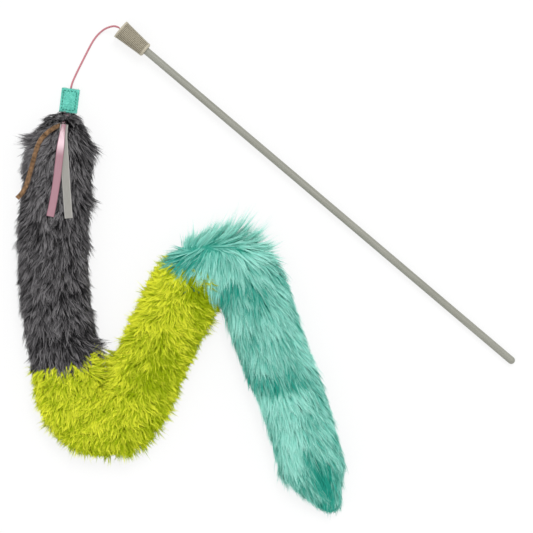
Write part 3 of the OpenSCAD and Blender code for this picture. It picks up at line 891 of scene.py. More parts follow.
GRAY_COAT = Coat(
    "gray", "gray_fur", strand_len=12.5, pile=5.2, strand_w=0.27, lock_r=1.5, locks_per_mm2=0.27,
    wisps_per_lock=6, strands_per_wisp=4, wisp_r=0.3, gather=0.62, wave=0.55, wave_count=0.9, tousle=15,
    droop=0.3, flank_drop=0.45, free=0.12, stray=0.04, ragged=0.4, tone_noise=0.36, tone_gain=1.5, seed=11,
    # Stroke tones and partings paint shade into creases and valleys and highlights onto bulges.
    strokes=(
        (-189, 113, -150, 0.9, 0.6), (-196, 106, -176, 1.3, 1.3), (-196, 94, -130, 1.2, 0.75),
        (-175, 124, -84, 1.4, 0.6), (-159, 124, -100, 1.4, 0.6), (-167, 126.5, -92, 0.9, 0.75),
        (-168, 120.5, -92, 3.0, 0.65), (-168, 114, -92, 1.2, 0.45), (-165, 102, -92, 0.9, 0.4),
        (-150, 113, -45, 1, 0.5), (-143, 102, -25, 1.3, 0.85), (-143, 91, -50, 1.2, 0.6),
        (-150, 77, -80, 0.8, 0.5), (-186, 79, -112, 1, 0.5), (-167, 79, -95, 1, 0.4),
        (-199, 64, -122, 1, 0.55), (-175, 56, -102, 1, 0.45), (-147, 58, -48, 1.4, 0.55),
        (-207, 38, -118, 1.2, 0.6), (-184, 31, -98, 1, 0.5), (-165, 27, -90, 1, 0.42),
        (-152, 23, -72, 0.9, 0.55), (-204, 4, -112, 1.1, 0.6), (-182, -1, -108, 1, 0.5),
        (-155, -3, -75, 1, 0.5), (-200, -28, -106, 1.1, 0.6), (-180, -30, -92, 1, 0.55),
        (-161, -34, -72, 1, 0.5), (-148, -32, -60, 1, 0.5), (-195, -57, -98, 1, 0.5),
        (-175, -53, -84, 1, 0.5), (-159, -59, -55, 1, 0.45), (-147, -65, -30, 1.2, 0.45),
        (-190, -79, -100, 1, 0.5), (-172, -82, -80, 1, 0.5), (-154, -79, -60, 1, 0.45)),
    partings=((-162, -16, -182, -24, 5, 1.0, 0.3), (-158, -49, -178, -55, 5, 0.9, 0.3),
              (-200, 8, -186, 2, 4, 0.5, 0.2)),
    tufts=((-191, 109, 7, 1.6, 0.9), (-200, 96, 7, 0.8, 0.2), (-147, 108, 8, 2.1, 1.0), (-148, 59, 5, 1.4, 0.7),
           (-151, 27, 7, 1.5, 0.8), (-149, -66, 8, 1.4, 0.7), (-186, 119, 8, 0.5, 0.0), (-204, 74, 13, 0.5, 0.0),
           (-205, -80, 12, 0.7, 0.0)))

LIME_COAT = Coat(
    "lime", "lime_fur", strand_len=9.5, pile=5.6, strand_w=0.25, lock_r=1.25, locks_per_mm2=0.36,
    wisps_per_lock=4, strands_per_wisp=5, wisp_r=0.36, gather=0.55, wave=0.85, wave_count=1.3, tousle=24,
    droop=0.2, flank_drop=0.4, free=0.2, stray=0.04, ragged=0.6, tone_noise=0.4, tone_gain=2.5, seed=23,
    # Stroke tones and partings paint shade into creases and valleys and highlights onto bulges.
    strokes=(
        (-189, -98, -118, 1.1, 0.6), (-174, -103, -95, 1, 0.5), (-153, -93, -100, 0.9, 0.5),
        (-143, -84, 20, 1.2, 0.6), (-185, -119, -120, 1.1, 0.6), (-165, -118, -112, 1, 0.55),
        (-147, -109, -130, 1, 0.6), (-174, -141, -128, 1, 0.5), (-157, -144, -112, 1, 0.45),
        (-147, -131, -118, 1, 0.6), (-164, -154, -120, 1, 0.4), (-140, -154, -96, 1, 0.4),
        (-123, -154, -84, 1, 0.4), (-132, -132, -105, 1, 0.5), (-108, -144, -62, 1.1, 0.4),
        (-98, -129, -50, 1, 0.45), (-115, -115, -95, 1, 0.55), (-97, -109, -55, 1, 0.5),
        (-82, -108, -25, 1.2, 0.5), (-130, -92, -140, 1, 0.6), (-130, -78, 172, 1.2, 0.65),
        (-122, -71, -150, 1, 0.6), (-130, -53, 158, 1.2, 0.8), (-117, -43, 155, 1.2, 0.8),
        (-104, -26, 158, 1.2, 0.8), (-94, -11, 150, 1.2, 0.75), (-88, 3, 125, 1.1, 0.7),
        (-80, -5, -130, 0.9, 0.6), (-73, -13, -100, 1, 0.55), (-62, -11, -80, 0.9, 0.2),
        (-52, -21, -40, 0.9, 0.1), (-90, -32, -135, 1, 0.6), (-73, -36, -70, 1, 0.6),
        (-57, -43, -35, 1, 0.5), (-45, -43, -20, 1, 0.35), (-98, -59, -110, 1, 0.5),
        (-80, -57, -55, 1, 0.55), (-61, -61, -25, 1.1, 0.45), (-107, -78, -120, 1, 0.45),
        (-88, -76, -70, 0.9, 0.3), (-70, -79, -25, 1.1, 0.5), (-112, -98, -115, 1, 0.5),
        (-94, -93, -60, 0.9, 0.3)),
    partings=((-164, -136, -134, -118, 4, 0.7, 0.6), (-52, -4, -77, 1, 4, 0.9, 0.0),
              (-50, -20, -62, -36, 6, 0.8, 0.0), (-96, -84, -112, -104, 6, 0.5, 0.2)),
    tufts=((-176, -146, 7, 1.6, 0.8), (-106, -146, 9, 1.4, 0.7), (-118, -151, 8, 1.5, 0.7),
           (-160, -149, 10, 1.3, 0.5), (-129, -78, 8, 1.6, 0.8), (-143, -86, 6, 1.6, 0.8),
           (-84, -104, 10, 1.2, 0.5), (-50, -46, 8, 1.4, 0.6), (-196, -108, 10, 0.8, 0.0), (-78, -92, 12, 0.75, 0.0),
           (-64, -68, 9, 0.8, 0.0)))

TEAL_COAT = Coat(
    "teal", "teal_fur", strand_len=18.0, pile=4.6, strand_w=0.24, lock_r=1.7, locks_per_mm2=0.23,
    wisps_per_lock=6, strands_per_wisp=4, wisp_r=0.42, gather=0.42, wave=0.4, wave_count=0.6, tousle=9,
    droop=0.3, flank_drop=0.5, free=0.12, stray=0.03, ragged=0.2, tone_noise=0.22, tone_gain=1.8, seed=37,
    # Stroke tones and partings paint shade into creases and valleys and highlights onto bulges.
    strokes=(
        (-76, 12, 150, 1, 0.7), (-69, 17, 70, 1, 0.85), (-60, 20, 54, 1.1, 0.95), (-50, 23, 47, 1.2, 1.0),
        (-40, 25, 43, 1.2, 1.05), (-30, 25, 41, 1.2, 1.05), (-19, 23, 36, 1.2, 1.0), (-9, 18, 26, 1.2, 0.9),
        (1, 12, 5, 1, 0.7), (9, 3, -30, 1, 0.6), (-71, 8, -140, 1, 0.35), (-63, 8, -125, 0.9, 0.2),
        (-54, 11, -130, 0.8, 0.3), (-66, 3, -118, 1, 0.55), (-54, 2, -108, 1, 0.75), (-45, 9, -104, 0.9, 0.5),
        (-43, -1, -96, 1, 0.9), (-36, 10, -88, 0.9, 0.55), (-34, 0, -82, 1, 0.85), (-27, 11, -66, 1, 0.75),
        (-25, 2, -62, 1, 0.6), (-16, 11, -42, 1, 0.75), (-12, 1, -52, 1, 0.6), (0, 0, -52, 1, 0.55),
        (-46, -14, -100, 1, 0.6), (-35, -14, -88, 1, 0.25), (-28, -10, -74, 1, 0.3), (-14, -14, -62, 1, 0.35),
        (2, -11, -55, 1, 0.6), (13, -21, -62, 1, 0.6), (-36, -28, -84, 1, 0.4), (-26, -38, -80, 1, 0.85),
        (-16, -28, -70, 1, 0.5), (-33, -50, -82, 1, 0.5), (-16, -52, -72, 1, 0.5), (-2, -42, -66, 1, 0.65),
        (19, -46, -60, 1, 0.6), (-23, -71, -76, 1, 0.5), (-5, -68, -80, 1, 0.65), (13, -69, -64, 1, 0.6),
        (30, -71, -62, 1, 0.7), (-15, -90, -76, 1, 0.35), (3, -91, -74, 1, 0.3), (18, -89, -66, 1, 0.35),
        (33, -89, -55, 1.1, 0.5), (-9, -106, -82, 1, 0.95), (8, -103, -74, 1, 0.85), (24, -101, -66, 1, 0.7),
        (35, -106, -62, 1, 0.6), (-6, -119, -84, 1, 0.55), (12, -124, -76, 1, 0.7), (37, -128, -62, 1, 0.55),
        (3, -137, -86, 1, 0.5), (18, -138, -78, 1, 1.0), (5, -154, -92, 1, 0.5), (20, -152, -76, 1, 0.9),
        (34, -149, -66, 1, 0.5), (51, -149, -70, 1, 0.6), (9, -169, -112, 1, 0.55), (25, -173, -84, 1, 0.5),
        (42, -166, -72, 1, 0.1), (47, -178, -76, 1, 0.15), (61, -173, -82, 1, 0.5), (30, -186, -72, 1, 0.5),
        (46, -191, -78, 1, 0.3), (59, -191, -96, 1, 0.4)),
    partings=((26, -95, -10, -104, 4.5, 0.0, 0.0), (-10, -104, 26, -95, 4.0, 1.0, 1.0),
              (-46, 17, -26, 21, 3.0, 0.9, 0.2), (31, -154, 45, -175, 4, 0.6, 0.2)),
    tufts=((-66, 17, 8, 1.1, 0.6), (-54, 22, 11, 1.45, 0.8), (-37, 26, 12, 1.8, 0.9), (-22, 23, 12, 1.55, 0.85),
           (-7, 17, 10, 1.25, 0.8), (5, -166, 9, 1.6, 0.8), (42, -200, 12, 0.6, 0.0)))


class Band(Enum):
    """The strips that a bend's pieces are split into, from its inside to its outside."""

    INMOST = "inmost"
    INNER = "inner"
    MIDDLE = "middle"
    OUTER = "outer"
    WHOLE = "whole"

    @property
    def suffix(self) -> str:
        """End of the name of the strip's pieces."""
        return "" if self is Band.WHOLE else f"_{self.value}"


@dataclass(frozen=True)
class Zone:
    """A stretch of the tail that rides on one body, or lies across a crease between two.

    Distances are in millimetres. The side is 1 where a bend's inside is on the right of the
    tail's direction, -1 on the left, and 0 where the stretch isn't split into strips.
    """

    name: str
    start: float
    end: float
    bodies: tuple[str, ...]
    nodes: tuple[str, ...]
    crease: float = 0.0
    side: int = 0


@dataclass
class Tail:
    """The long tail: backing in closed lengths, and combed pile on it. Lengths are in millimetres."""

    finishes: Finishes
    line: TailLine = field(default_factory=lambda: TailLine(swell_len=25.0, shoulder_len=40.0))
    bend_reach: float = 18.0
    crease_reach: float = 14.0
    least_reach: float = 0.8
    strip_edge: float = 9.0
    overlap: float = 0.6
    backing_step: float = 2.5
    backing_columns: int = 13
    backing_least_t: float = 0.1
    gray_overhang: float = 5.0
    comb_soft: float = 10.0
    bare_below: float = 1.2
    bare_facing: float = -0.4
    thin_facing: float = -0.2
    thin_share: float = 0.4
    squeeze_from: float = 0.6
    squeeze_least: float = 0.15
    most_packed: float = 2.5
    level_count: int = 4
    root_depth: float = 0.6
    floor_gap: float = 0.15
    end_height: float = 4.0
    end_reach: float = 8.0
    quick_share: float = 0.35
    most_strands: int = 39000
    soft_press: float = 1.2
    press_gap: float = 0.35
    press_ledge: float = 0.3
    press_slope: float = 0.9
    press_search: float = 6.0

    SEAM_OVER = ((-95.0, 12.0), (-77.0, 4.0), (-52.0, -2.5))
    SEAM_BESIDE = ((-46.0, -37.0), (-19.0, -46.0), (-2.5, -52.0))
    BLADE_SHAPE = (0.85, 1.0, 0.72, 0.0)
    PARTING_FADE = 1.6
    PARTING_DIP_AT = 0.4
    PARTING_FLAT = 0.55
    PARTING_SHADE = 0.75
    PARTING_HIGHLIGHT = 0.6
    WAVE_COUNT = 7
    SWIRL_LENGTHS = (7, 30)
    BUNCH_LENGTHS = (5, 13)

    def __post_init__(self) -> None:
        """Samples the surface and lays out the zones."""
        self.fleece = Fleece(self.line)
        self.zones = self._zones()
        self.pressed = [(smooth_route(route[2:], 2 * MM) / MM, half, thick, math.radians(low), math.radians(high))
                        for route, half, thick, low, high in Tassels.CLEARED]

    def _zones(self) -> list[Zone]:
        """The stretches between and across the creases."""
        line, reach, near = self.line, self.bend_reach, self.crease_reach
        bend, tip, elbow, fold = line.gray_bend_at, line.tip_bend_at, line.elbow_at, line.fold_at
        return [
            Zone("neck", 0, bend - reach, ("tail_head",), ("gray_sleeve_upper",)),
            Zone("gray_bend", bend - reach, bend + reach, ("tail_head", "gray_tail"), ("gray_pleats",), bend),
            Zone("gray", bend + reach, elbow[0] - near, ("gray_tail",), ("gray_sleeve_lower",)),
            *self._creased("elbow", elbow, -1, ("gray_tail", "elbow_1", "elbow_2", "lime_tail"),
                           (("lime_sleeve_start", "elbow_pleat_1"), ("elbow_sleeve_1", "elbow_pleat_2"),
                            ("elbow_sleeve_2", "elbow_pleat_3"))),
            Zone("lime", elbow[2] + near, fold[0] - near, ("lime_tail",), ("lime_sleeve",)),
            *self._creased("fold", fold, 1, ("lime_tail", "fold_1", "fold_2", "teal_tail"),
                           (("fold_pleat_1",), ("fold_sleeve_1", "fold_pleat_2"),
                            ("fold_sleeve_2", "fold_pleat_3"))),
            Zone("teal", fold[2] + near, tip - reach, ("teal_tail",), ("teal_sleeve",)),
            Zone("tip_bend", tip - reach, tip + reach, ("teal_tail", "tail_tip"), ("tip_pleats",), tip),
            Zone("tip", tip + reach, line.end, ("tail_tip",), ("tip_sleeve",))]

    def _creased(self, name: str, creases: list[float], side: int, bodies: tuple[str, ...],
                 nodes: tuple[tuple[str, ...], ...]) -> list[Zone]:
        """The stretches across creases that follow one another.

        Args:
            name: Start of their names.
            creases: Where the creases are.
            side: Where the bend's inside is, as in Zone.
            bodies: The bodies before, between and after the creases.
            nodes: The nodes that each stretch replaces.

        Returns:
            One stretch for each crease.
        """
        middles = [(a + b) / 2 for a, b in zip(creases, creases[1:])]
        marks = [creases[0] - self.crease_reach, *middles, creases[-1] + self.crease_reach]
        return [Zone(f"{name}_{i + 1}", marks[i], marks[i + 1], bodies[i:i + 2], nodes[i], crease, side)
                for i, crease in enumerate(creases)]

    def strips(self, zone: Zone) -> list[tuple[Band, float, float]]:
        """The strips of a zone, each with its edges to the right of the middle line."""
        if not zone.side:
            return [(Band.WHOLE, -FAR_ASIDE, FAR_ASIDE)]
        edges = [-FAR_ASIDE, -2 * self.strip_edge, -self.strip_edge, self.strip_edge, FAR_ASIDE]
        bands = [Band.INMOST, Band.INNER, Band.MIDDLE, Band.OUTER]
        if zone.side > 0:
            edges, bands = [-edge for edge in reversed(edges)], bands[::-1]
        return list(zip(bands, edges, edges[1:]))

    def attach(self, made: bpy.types.Object, zone: Zone, low: float, high: float) -> None:
        """Rides a piece on its zone's body where the zone has one; otherwise bakes its transform into its mesh and
        leaves it unattached.

        Args:
            made: The piece.
            zone: Its stretch.
            low: Left edge of its strip, to the right of the middle line.
            high: Right edge.
        """
        if len(zone.bodies) == 1:
            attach(made, zone.bodies[0])
            return
        x, y, heading = (float(value) for value in self.line.place(zone.crease))
        crease, ahead = np.array([x, y]), heading_way(heading)[:2]
        for dist, way in ((zone.start, -1), (zone.end, 1)):
            half = float(self.line.width(np.array(dist))) / 2
            spots = self.line.plan(np.array(dist), np.clip([low, high], -half, half)) - crease
        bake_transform(made)

    def coat_of(self, points: Array, dist: Array) -> Array:
        """Which coat grows at each place: 0 gray, 1 lime, 2 teal.

        The seam of lime and teal goes over the fold by SEAM_OVER, as x and y, and down beside it by
        SEAM_BESIDE, as y and x.
        """
        side = self.line.aside(points, dist)
        ragged = 1.6 * np.sin(points[:, 0] * 0.9) + 1.2 * np.sin(points[:, 1] * 1.3 + 1)
        gray_end = self.line.lime_seam_at + self.gray_overhang * (1 - (side / 24) ** 2) + ragged
        px, py = points[:, 0], points[:, 1] + ragged * 0.8
        corner_x, corner_y = self.SEAM_OVER[-1]
        above = py > np.interp(px, *zip(*self.SEAM_OVER))
        beside = px + ragged * 0.8 > np.interp(py, *zip(*self.SEAM_BESIDE))
        beyond = (px >= corner_x) & (py >= corner_y)
        teal = (dist > self.line.fold_start - 20) & (np.where(px < corner_x, above, beside) | beyond
                                                     | (dist > self.line.fold_at[2]))
        return np.where(dist < gray_end, 0, np.where(teal, 2, 1))

    def backing_finish(self, zone: Zone, band: Band) -> tuple[bpy.types.Material, str]:
        """The backing's finish and slot. The inside of the fold's first stretch is still lime."""
        middle = (zone.start + zone.end) / 2
        if middle < self.line.lime_seam_at:
            return self.finishes.gray_back, "gray_fur"
        if middle < self.line.fold_start or (zone.name == "fold_1" and band in (Band.INMOST, Band.INNER)):
            return self.finishes.lime_back, "lime_fur"
        return self.finishes.teal_back, "teal_fur"

    def backing(self, zone: Zone, band: Band, low: float, high: float) -> bpy.types.Object:
        """Makes a closed length of backing, as wide as one strip.

        Args:
            zone: The stretch.
            band: The strip.
            low: Left edge of the strip, to the right of the middle line.
            high: Right edge.

        Returns:
            The piece.
        """
        line = self.line
        start, end = max(zone.start - self.overlap, 0.0), min(zone.end + self.overlap, line.end)
        dist = np.linspace(start, end, max(4, math.ceil((end - start) / self.backing_step)) + 1)[:, None]
        half = line.width(dist) / 2
        left, right = np.maximum(low / half, -1.0), np.minimum(high / half, 1.0)
        across = (1 - np.cos(np.linspace(0, np.pi, self.backing_columns))) / 2
        share = left + (right - left) * across
        sin = np.sqrt(np.maximum(0, 1 - np.abs(share) ** (2 / line.square_share)))
        h = line.top(dist) + line.rest_flat
        rise = h / 2 * sin ** line.square_share
        upper = line.lift(dist) + np.maximum(self.backing_least_t, h / 2 + rise - line.rest_flat)
        lower = line.lift(dist) + np.maximum(0, h / 2 - rise - line.rest_flat)
        plan = line.plan(dist, share * half)
        over, under = (np.concatenate([plan, z[..., None]], axis=-1) for z in (upper, lower))
        rings = np.concatenate([over, under[:, ::-1]], axis=1) * MM
        made = Workbench.closed(f"{zone.name}_backing{band.suffix}", [rings], *self.backing_finish(zone, band))
        return made

    def comb(self, coat: Coat, points: Array) -> tuple[Array, Array, Array, Array, Array]:
        """Reads the comb's strokes at places.

        Args:
            coat: The coat.
            points: Places in millimetres.

        Returns:
            The direction in the plan, the pile's lift, its tone with the painted shade and highlights of the strokes
            and partings, its length and how freely it stands.
        """
        strokes = np.array(coat.strokes, float)
        gap = ((points[:, None, :2] - strokes[None, :, :2]) ** 2).sum(-1)
        weight = 1 / (gap + self.comb_soft) ** 2
        weight /= weight.sum(1, keepdims=True)
        heading = np.radians(strokes[:, 2])
        flow = np.stack([weight @ np.cos(heading), weight @ np.sin(heading), np.zeros(len(points))], axis=1)
        lift, tone = weight @ strokes[:, 3], 0.5 + coat.tone_gain * (weight @ strokes[:, 4] - 0.5)
        for x0, y0, x1, y1, reach, dark, light in coat.partings:
            a, b = np.array([x0, y0], float), np.array([x1, y1], float)
            way = (b - a) / np.linalg.norm(b - a)
            share = np.clip(((points[:, :2] - a) @ (b - a)) / ((b - a) @ (b - a)), 0, 1)
            off = points[:, :2] - a - share[:, None] * (b - a)
            left = way[0] * off[:, 1] - way[1] * off[:, 0]
            fade = np.exp(-(off**2).sum(1) / (reach * self.PARTING_FADE) ** 2)
            dip = np.exp(-(((left - self.PARTING_DIP_AT * reach) / reach) ** 2)) * fade
            rise = np.exp(-(((left + reach) / reach) ** 2)) * fade
            lift = lift * (1 - self.PARTING_FLAT * dark * dip)
            # Painted shade on the parting's dark side and a painted highlight on its light side.
            tone = tone - self.PARTING_SHADE * dark * dip + self.PARTING_HIGHLIGHT * light * rise
        length, free = np.ones(len(points)), np.zeros(len(points))
        for x, y, reach, longer, stand in coat.tufts:
            near = np.exp(-((points[:, :2] - [x, y]) ** 2).sum(1) / reach**2)
            length, free = length + (longer - 1) * near, np.maximum(free, stand * near)
        return unit(flow), lift, tone, length, free

    def plant(self, coat: Coat, index: int, rng: np.random.Generator) -> tuple[Array, Array]:
        """Chooses where a coat's locks grow: none on the floor, and more where a bend squeezes the fabric.

        Args:
            coat: The coat.
            index: Its number for coat_of.
            rng: Random numbers.

        Returns:
            Distances along the tail and angles round it.
        """
        fleece = self.fleece
        points, normal = fleece.points.reshape(-1, 3), fleece.normals.reshape(-1, 3)
        own = self.coat_of(points, fleece.dist.ravel()) == index
        shows = (points[:, 2] > self.bare_below) | (normal[:, 2] > self.bare_facing)
        thinned = np.where(normal[:, 2] < self.thin_facing, self.thin_share, 1.0)
        squeezed = np.linalg.norm(fleece.along, axis=-1).ravel().clip(self.squeeze_least, 1)
        packed = np.minimum(self.most_packed, self.squeeze_from / squeezed)
        weight = np.where(own & shows, fleece.area.ravel(), 0) * thinned
        weight = weight * np.where(squeezed < self.squeeze_from, packed, 1.0)
        total = weight.sum()
        count = int(total * coat.locks_per_mm2 * (1.0))
        pick = (np.arange(count) + rng.random(count)) / count
        cell = np.searchsorted(np.cumsum(weight) / total, pick).clip(0, len(weight) - 1)
        LOG.info("%s coat: %.0f mm2, %d locks", coat.name, total, count)
        return (fleece.dist.ravel()[cell] + rng.uniform(-0.5, 0.5, count),
                fleece.angle.ravel()[cell] + rng.uniform(-0.5, 0.5, count) * FULL_TURN / fleece.columns)

    @classmethod
    def ripple(cls, points: Array, rng: np.random.Generator, low: float, high: float) -> Array:
        """Adds up waves in the plan, with lengths in millimetres between low and high."""
        total = np.zeros(len(points))
        for _ in range(cls.WAVE_COUNT):
            wave = rng.normal(0, 1, 2)
            wave = wave / np.linalg.norm(wave) * 2 * np.pi / rng.uniform(low, high)
            total += rng.uniform(0.5, 1) * np.sin(points[:, :2] @ wave + rng.uniform(0, FULL_TURN))
        return total

    def locks(self, coat: Coat, index: int) -> dict[str, Array]:
        """Plants a coat's locks and lays each along the surface.

        Args:
            coat: The coat.
            index: Its number for coat_of.

        Returns:
            Arrays by name: the roots' distances and sides, and at each level the points, normals and ways.
        """
        rng = np.random.default_rng(coat.seed)
        fleece, line = self.fleece, self.line
        dist, angle = self.plant(coat, index, rng)
        count = len(dist)
        root_dist = dist
        root_point, root_normal, *_ = fleece.look(dist, angle)
        flow, lift, tone, longer, free = self.comb(coat, root_point)
        swirl, bunch = (self.ripple(root_point, rng, *lengths) for lengths in (self.SWIRL_LENGTHS, self.BUNCH_LENGTHS))
        turn = np.radians(coat.tousle) * (0.55 * swirl + rng.normal(0, 0.8, count))
        cos, sin = np.cos(turn)[:, None], np.sin(turn)[:, None]
        flow = np.concatenate([flow[:, :1] * cos - flow[:, 1:2] * sin, flow[:, :1] * sin + flow[:, 1:2] * cos,
                               flow[:, 2:]], axis=1)
        faces_up = root_normal[:, 2]
        juts = np.clip(bunch - 0.6, 0, 1.2) * np.clip(1.1 - 1.2 * faces_up, 0.1, 1) * coat.ragged
        free = np.maximum(free, juts)
        length = coat.strand_len * rng.uniform(0.7, 1.2, count) * longer * (1 + 0.3 * juts)
        flank = 1 - coat.flank_drop * (1 - np.clip(faces_up, 0, 1))
        height = coat.pile * lift * rng.uniform(0.5, 1.2, count) * flank
        ground = np.array([0.0, 0.0, -1.0])
        aim = flow - np.minimum(0, dot(flow, root_normal)) * root_normal
        stand = rng.uniform(0.12, 0.42, count)[:, None] * lift[:, None]
        outward = root_normal * [1.0, 1.0, 0.2] * free[:, None] * rng.uniform(0.3, 1.2, (count, 1))
        aim = unit(unit(aim) + root_normal * stand + outward)
        curl_back = free[:, None] * 0.55
        free = np.clip(free + coat.free + rng.normal(0, 0.12, count), 0, 1)[:, None]
        most_past = rng.uniform(0, 2.0, count)
        tip_x, tip_y, _ = line.place(line.end + 1.0)
        tip = np.array([float(tip_x), float(tip_y), self.end_height])
        levels = np.linspace(0, 1, self.level_count)
        points_out, normals_out, ways_out = [], [], []
        for level in levels:
            p, n, along, around = fleece.look(dist, angle)
            pull = flow + coat.droop * ground
            way = pull - dot(pull, n) * n
            strength = np.linalg.norm(way, axis=1).clip(0.05, 1)
            beyond = np.clip(dist - fleece.last, 0, most_past)[:, None] * unit(along)
            rise = (height * (1 - (1 - level) ** 2.2) - self.root_depth)[:, None]
            laid = p + beyond + n * rise
            laid += (tip - laid) * (0.85 * np.clip((dist - fleece.last) / self.end_reach, 0, 1))[:, None]
            lean = aim * (1 - curl_back * level) + flow * curl_back * level
            straight = root_point + lean * (length * level * 0.92)[:, None] + root_normal * rise * 0.5
            straight = straight + ground * (coat.droop * length * level**2 * 0.25)[:, None]
            mixed = free * (0.4 + 0.6 * level)
            points_out.append(laid * (1 - mixed) + straight * mixed)
            normals_out.append(unit(n * (1 - mixed) + root_normal * mixed))
            ways_out.append(unit(way + flow * 0.05))
            move = way * (length / (self.level_count - 1) * (0.35 + 0.65 * strength) / strength)[:, None]
            dist = dist + dot(move, along)[:, 0] / np.maximum(dot(along, along)[:, 0], 0.2)
            angle = angle + dot(move, around)[:, 0] / np.maximum(dot(around, around)[:, 0], 9.0)
        tone = tone + rng.normal(0, coat.tone_noise * 0.75, count) + 0.05 * coat.tone_gain * swirl / 2
        return {"dist": root_dist, "side": line.aside(root_point, root_dist), "tone": tone,
                "gather": np.clip(coat.gather + rng.normal(0, 0.2, count), 0.1, 0.95),
                "radius": coat.lock_r * rng.uniform(0.7, 1.4, count), "points": np.stack(points_out, 1),
                "normals": np.stack(normals_out, 1), "ways": np.stack(ways_out, 1), "levels": levels}

    def strands(self, coat: Coat, lock: dict[str, Array], chosen: Array, seed: int) -> tuple[Array, Array]:
        """Splits locks into strands.

        Args:
            coat: The coat.
            lock: What locks() gave.
            chosen: Numbers of the locks.
            seed: Seed for this piece.

        Returns:
            Seven points for each strand, in metres, and their map coordinates.
        """
        rng = np.random.default_rng(seed)
        wisps = len(chosen) * coat.wisps_per_lock
        own = np.repeat(chosen, coat.wisps_per_lock)
        radius = lock["radius"][own] * np.sqrt(rng.random(wisps))
        spin = rng.uniform(0, FULL_TURN, wisps)
        off = radius[:, None] * np.stack([np.cos(spin), np.sin(spin)], 1)
        stray = rng.random(wisps) < coat.stray
        length = np.where(stray, rng.uniform(1.0, 1.3, wisps), rng.uniform(0.5, 1.1, wisps))
        gather = np.where(stray, -0.9, lock["gather"][own] + rng.normal(0, 0.18, wisps))
        phase, swing = rng.uniform(0, FULL_TURN, wisps), coat.wave * rng.uniform(0.2, 1.3, wisps)
        height = rng.normal(0, 0.45, wisps) + stray * rng.uniform(0, 1.2, wisps)
        tone = lock["tone"][own] + rng.normal(0, coat.tone_noise, wisps)
        each = coat.strands_per_wisp
        total = wisps * each
        take = np.repeat(own, each)
        off, stray, length, gather, phase, swing, height, tone = (
            np.repeat(value, each, axis=0) for value in (off, stray, length, gather, phase, swing, height, tone))
        length = length * rng.uniform(0.86, 1.06, total)
        apart = rng.normal(0, coat.wisp_r, (total, 2)) * (1 + 1.5 * stray[:, None])
        centre, normal, way = (lock[key][take] for key in ("points", "normals", "ways"))
        side = np.cross(way, normal)
        levels = lock["levels"]
        keep = (1 - gather[:, None] * levels[None] ** 1.1)[..., None]
        close = (1 - 0.85 * levels)[None, :, None]
        bend = np.sin(phase[:, None] + levels[None] * 2 * np.pi * coat.wave_count) - np.sin(phase)[:, None]
        body = centre[:, :1] + (centre - centre[:, :1]) * length[:, None, None]
        body = (body + way[:, :1] * (off[:, None, :1] * keep + apart[:, None, :1] * close)
                + side[:, :1] * (off[:, None, 1:] * keep + apart[:, None, 1:] * close))
        body = body + side * (bend * swing[:, None] * levels[None])[..., None]
        body = body + normal * (height[:, None] * levels[None])[..., None]
        body = self.press(body)
        forward = unit(np.gradient(body, axis=1))
        roll = rng.normal(0, 0.5, total)[:, None, None]
        flat = unit(np.cross(forward, normal))
        flat = flat * np.cos(roll) + np.cross(forward, flat) * np.sin(roll)
        width = coat.strand_w / 2 * rng.uniform(0.65, 1.35, total) * np.where(stray, 0.7, 1.0)
        points = Workbench.blades(body, flat * width[:, None, None] * np.array(self.BLADE_SHAPE)[:, None])
        points[..., 2] = np.maximum(points[..., 2], self.floor_gap)
        tone = np.clip(tone + rng.normal(0, 0.07, total), 0.02, 0.98)
        uv = np.empty((*points.shape[:2], 2))
        uv[..., 0] = tone[:, None]
        uv[..., 1] = np.repeat(levels, [2, 2, 2, 1])[None].clip(0.02, 0.98)
        return points * MM, uv

    def press(self, body: Array) -> Array:
        """Presses the pile down wherever a tassel lies or swings.

        Args:
            body: Points of strands, in millimetres.

        Returns:
            The points, none above a tassel's underside.
        """
        flat = body.reshape(-1, 3).copy()
        for route, half, thick, low, high in self.pressed:
            ray, bearing = self.polar(route)
            near = np.flatnonzero(self.polar(flat)[0] < ray[-1] + self.press_search)
            out, angle = self.polar(flat[near])
            swung = (angle - np.interp(out, ray, bearing) + math.pi) % FULL_TURN - math.pi
            aside = out * np.abs(swung - np.clip(swung, low, high))
            away = np.hypot(aside, np.maximum(0, out - ray[-1])) - half
            most = np.interp(out, ray, route[:, 2]) - thick / 2 - self.press_gap
            most = most + np.maximum(0, away - self.press_ledge) * self.press_slope
            over = flat[near, 2] - most + self.soft_press
            flat[near, 2] = np.where(over > 0, most - self.soft_press * np.exp(-over / self.soft_press), flat[near, 2])
        return flat.reshape(body.shape)

    @staticmethod
    def polar(points: Array) -> tuple[Array, Array]:
        """Distance from the tassels' pivot and bearing of each point."""
        away = points[:, :2] - Tassels.PIVOT
        return np.hypot(away[:, 0], away[:, 1]), np.arctan2(away[:, 1], away[:, 0])

    def grow(self, coat: Coat, index: int, finish: bpy.types.Material) -> None:
        """Makes the pile of one coat, a piece or more for each strip.

        Args:
            coat: The coat.
            index: Its number for coat_of.
            finish: Its finish.
        """
        lock, last = self.locks(coat, index), len(self.zones) - 1
        for place, zone in enumerate(self.zones):
            in_zone = (((lock["dist"] >= zone.start) | (place == 0)) & ((lock["dist"] < zone.end) | (place == last)))
            for band, low, high in self.strips(zone):
                chosen = np.flatnonzero(in_zone & (lock["side"] >= low) & (lock["side"] < high))
                if not len(chosen):
                    continue
                points, uv = self.strands(coat, lock, chosen, coat.seed * 100 + place * 4 + len(band.value))
                split = len(points) > self.most_strands
                for part, first in enumerate(range(0, len(points), self.most_strands)):
                    name = f"{coat.name}_pile_{zone.name}{band.suffix}" + (f"_{part + 1}" if split else "")
                    some = slice(first, first + self.most_strands)
                    made = Workbench.strand_mesh(name, points[some], uv[some], finish, coat.slot)
                    self.attach(made, zone, low, high)
                    LOG.info("%s: %d strands", name, len(points[some]))

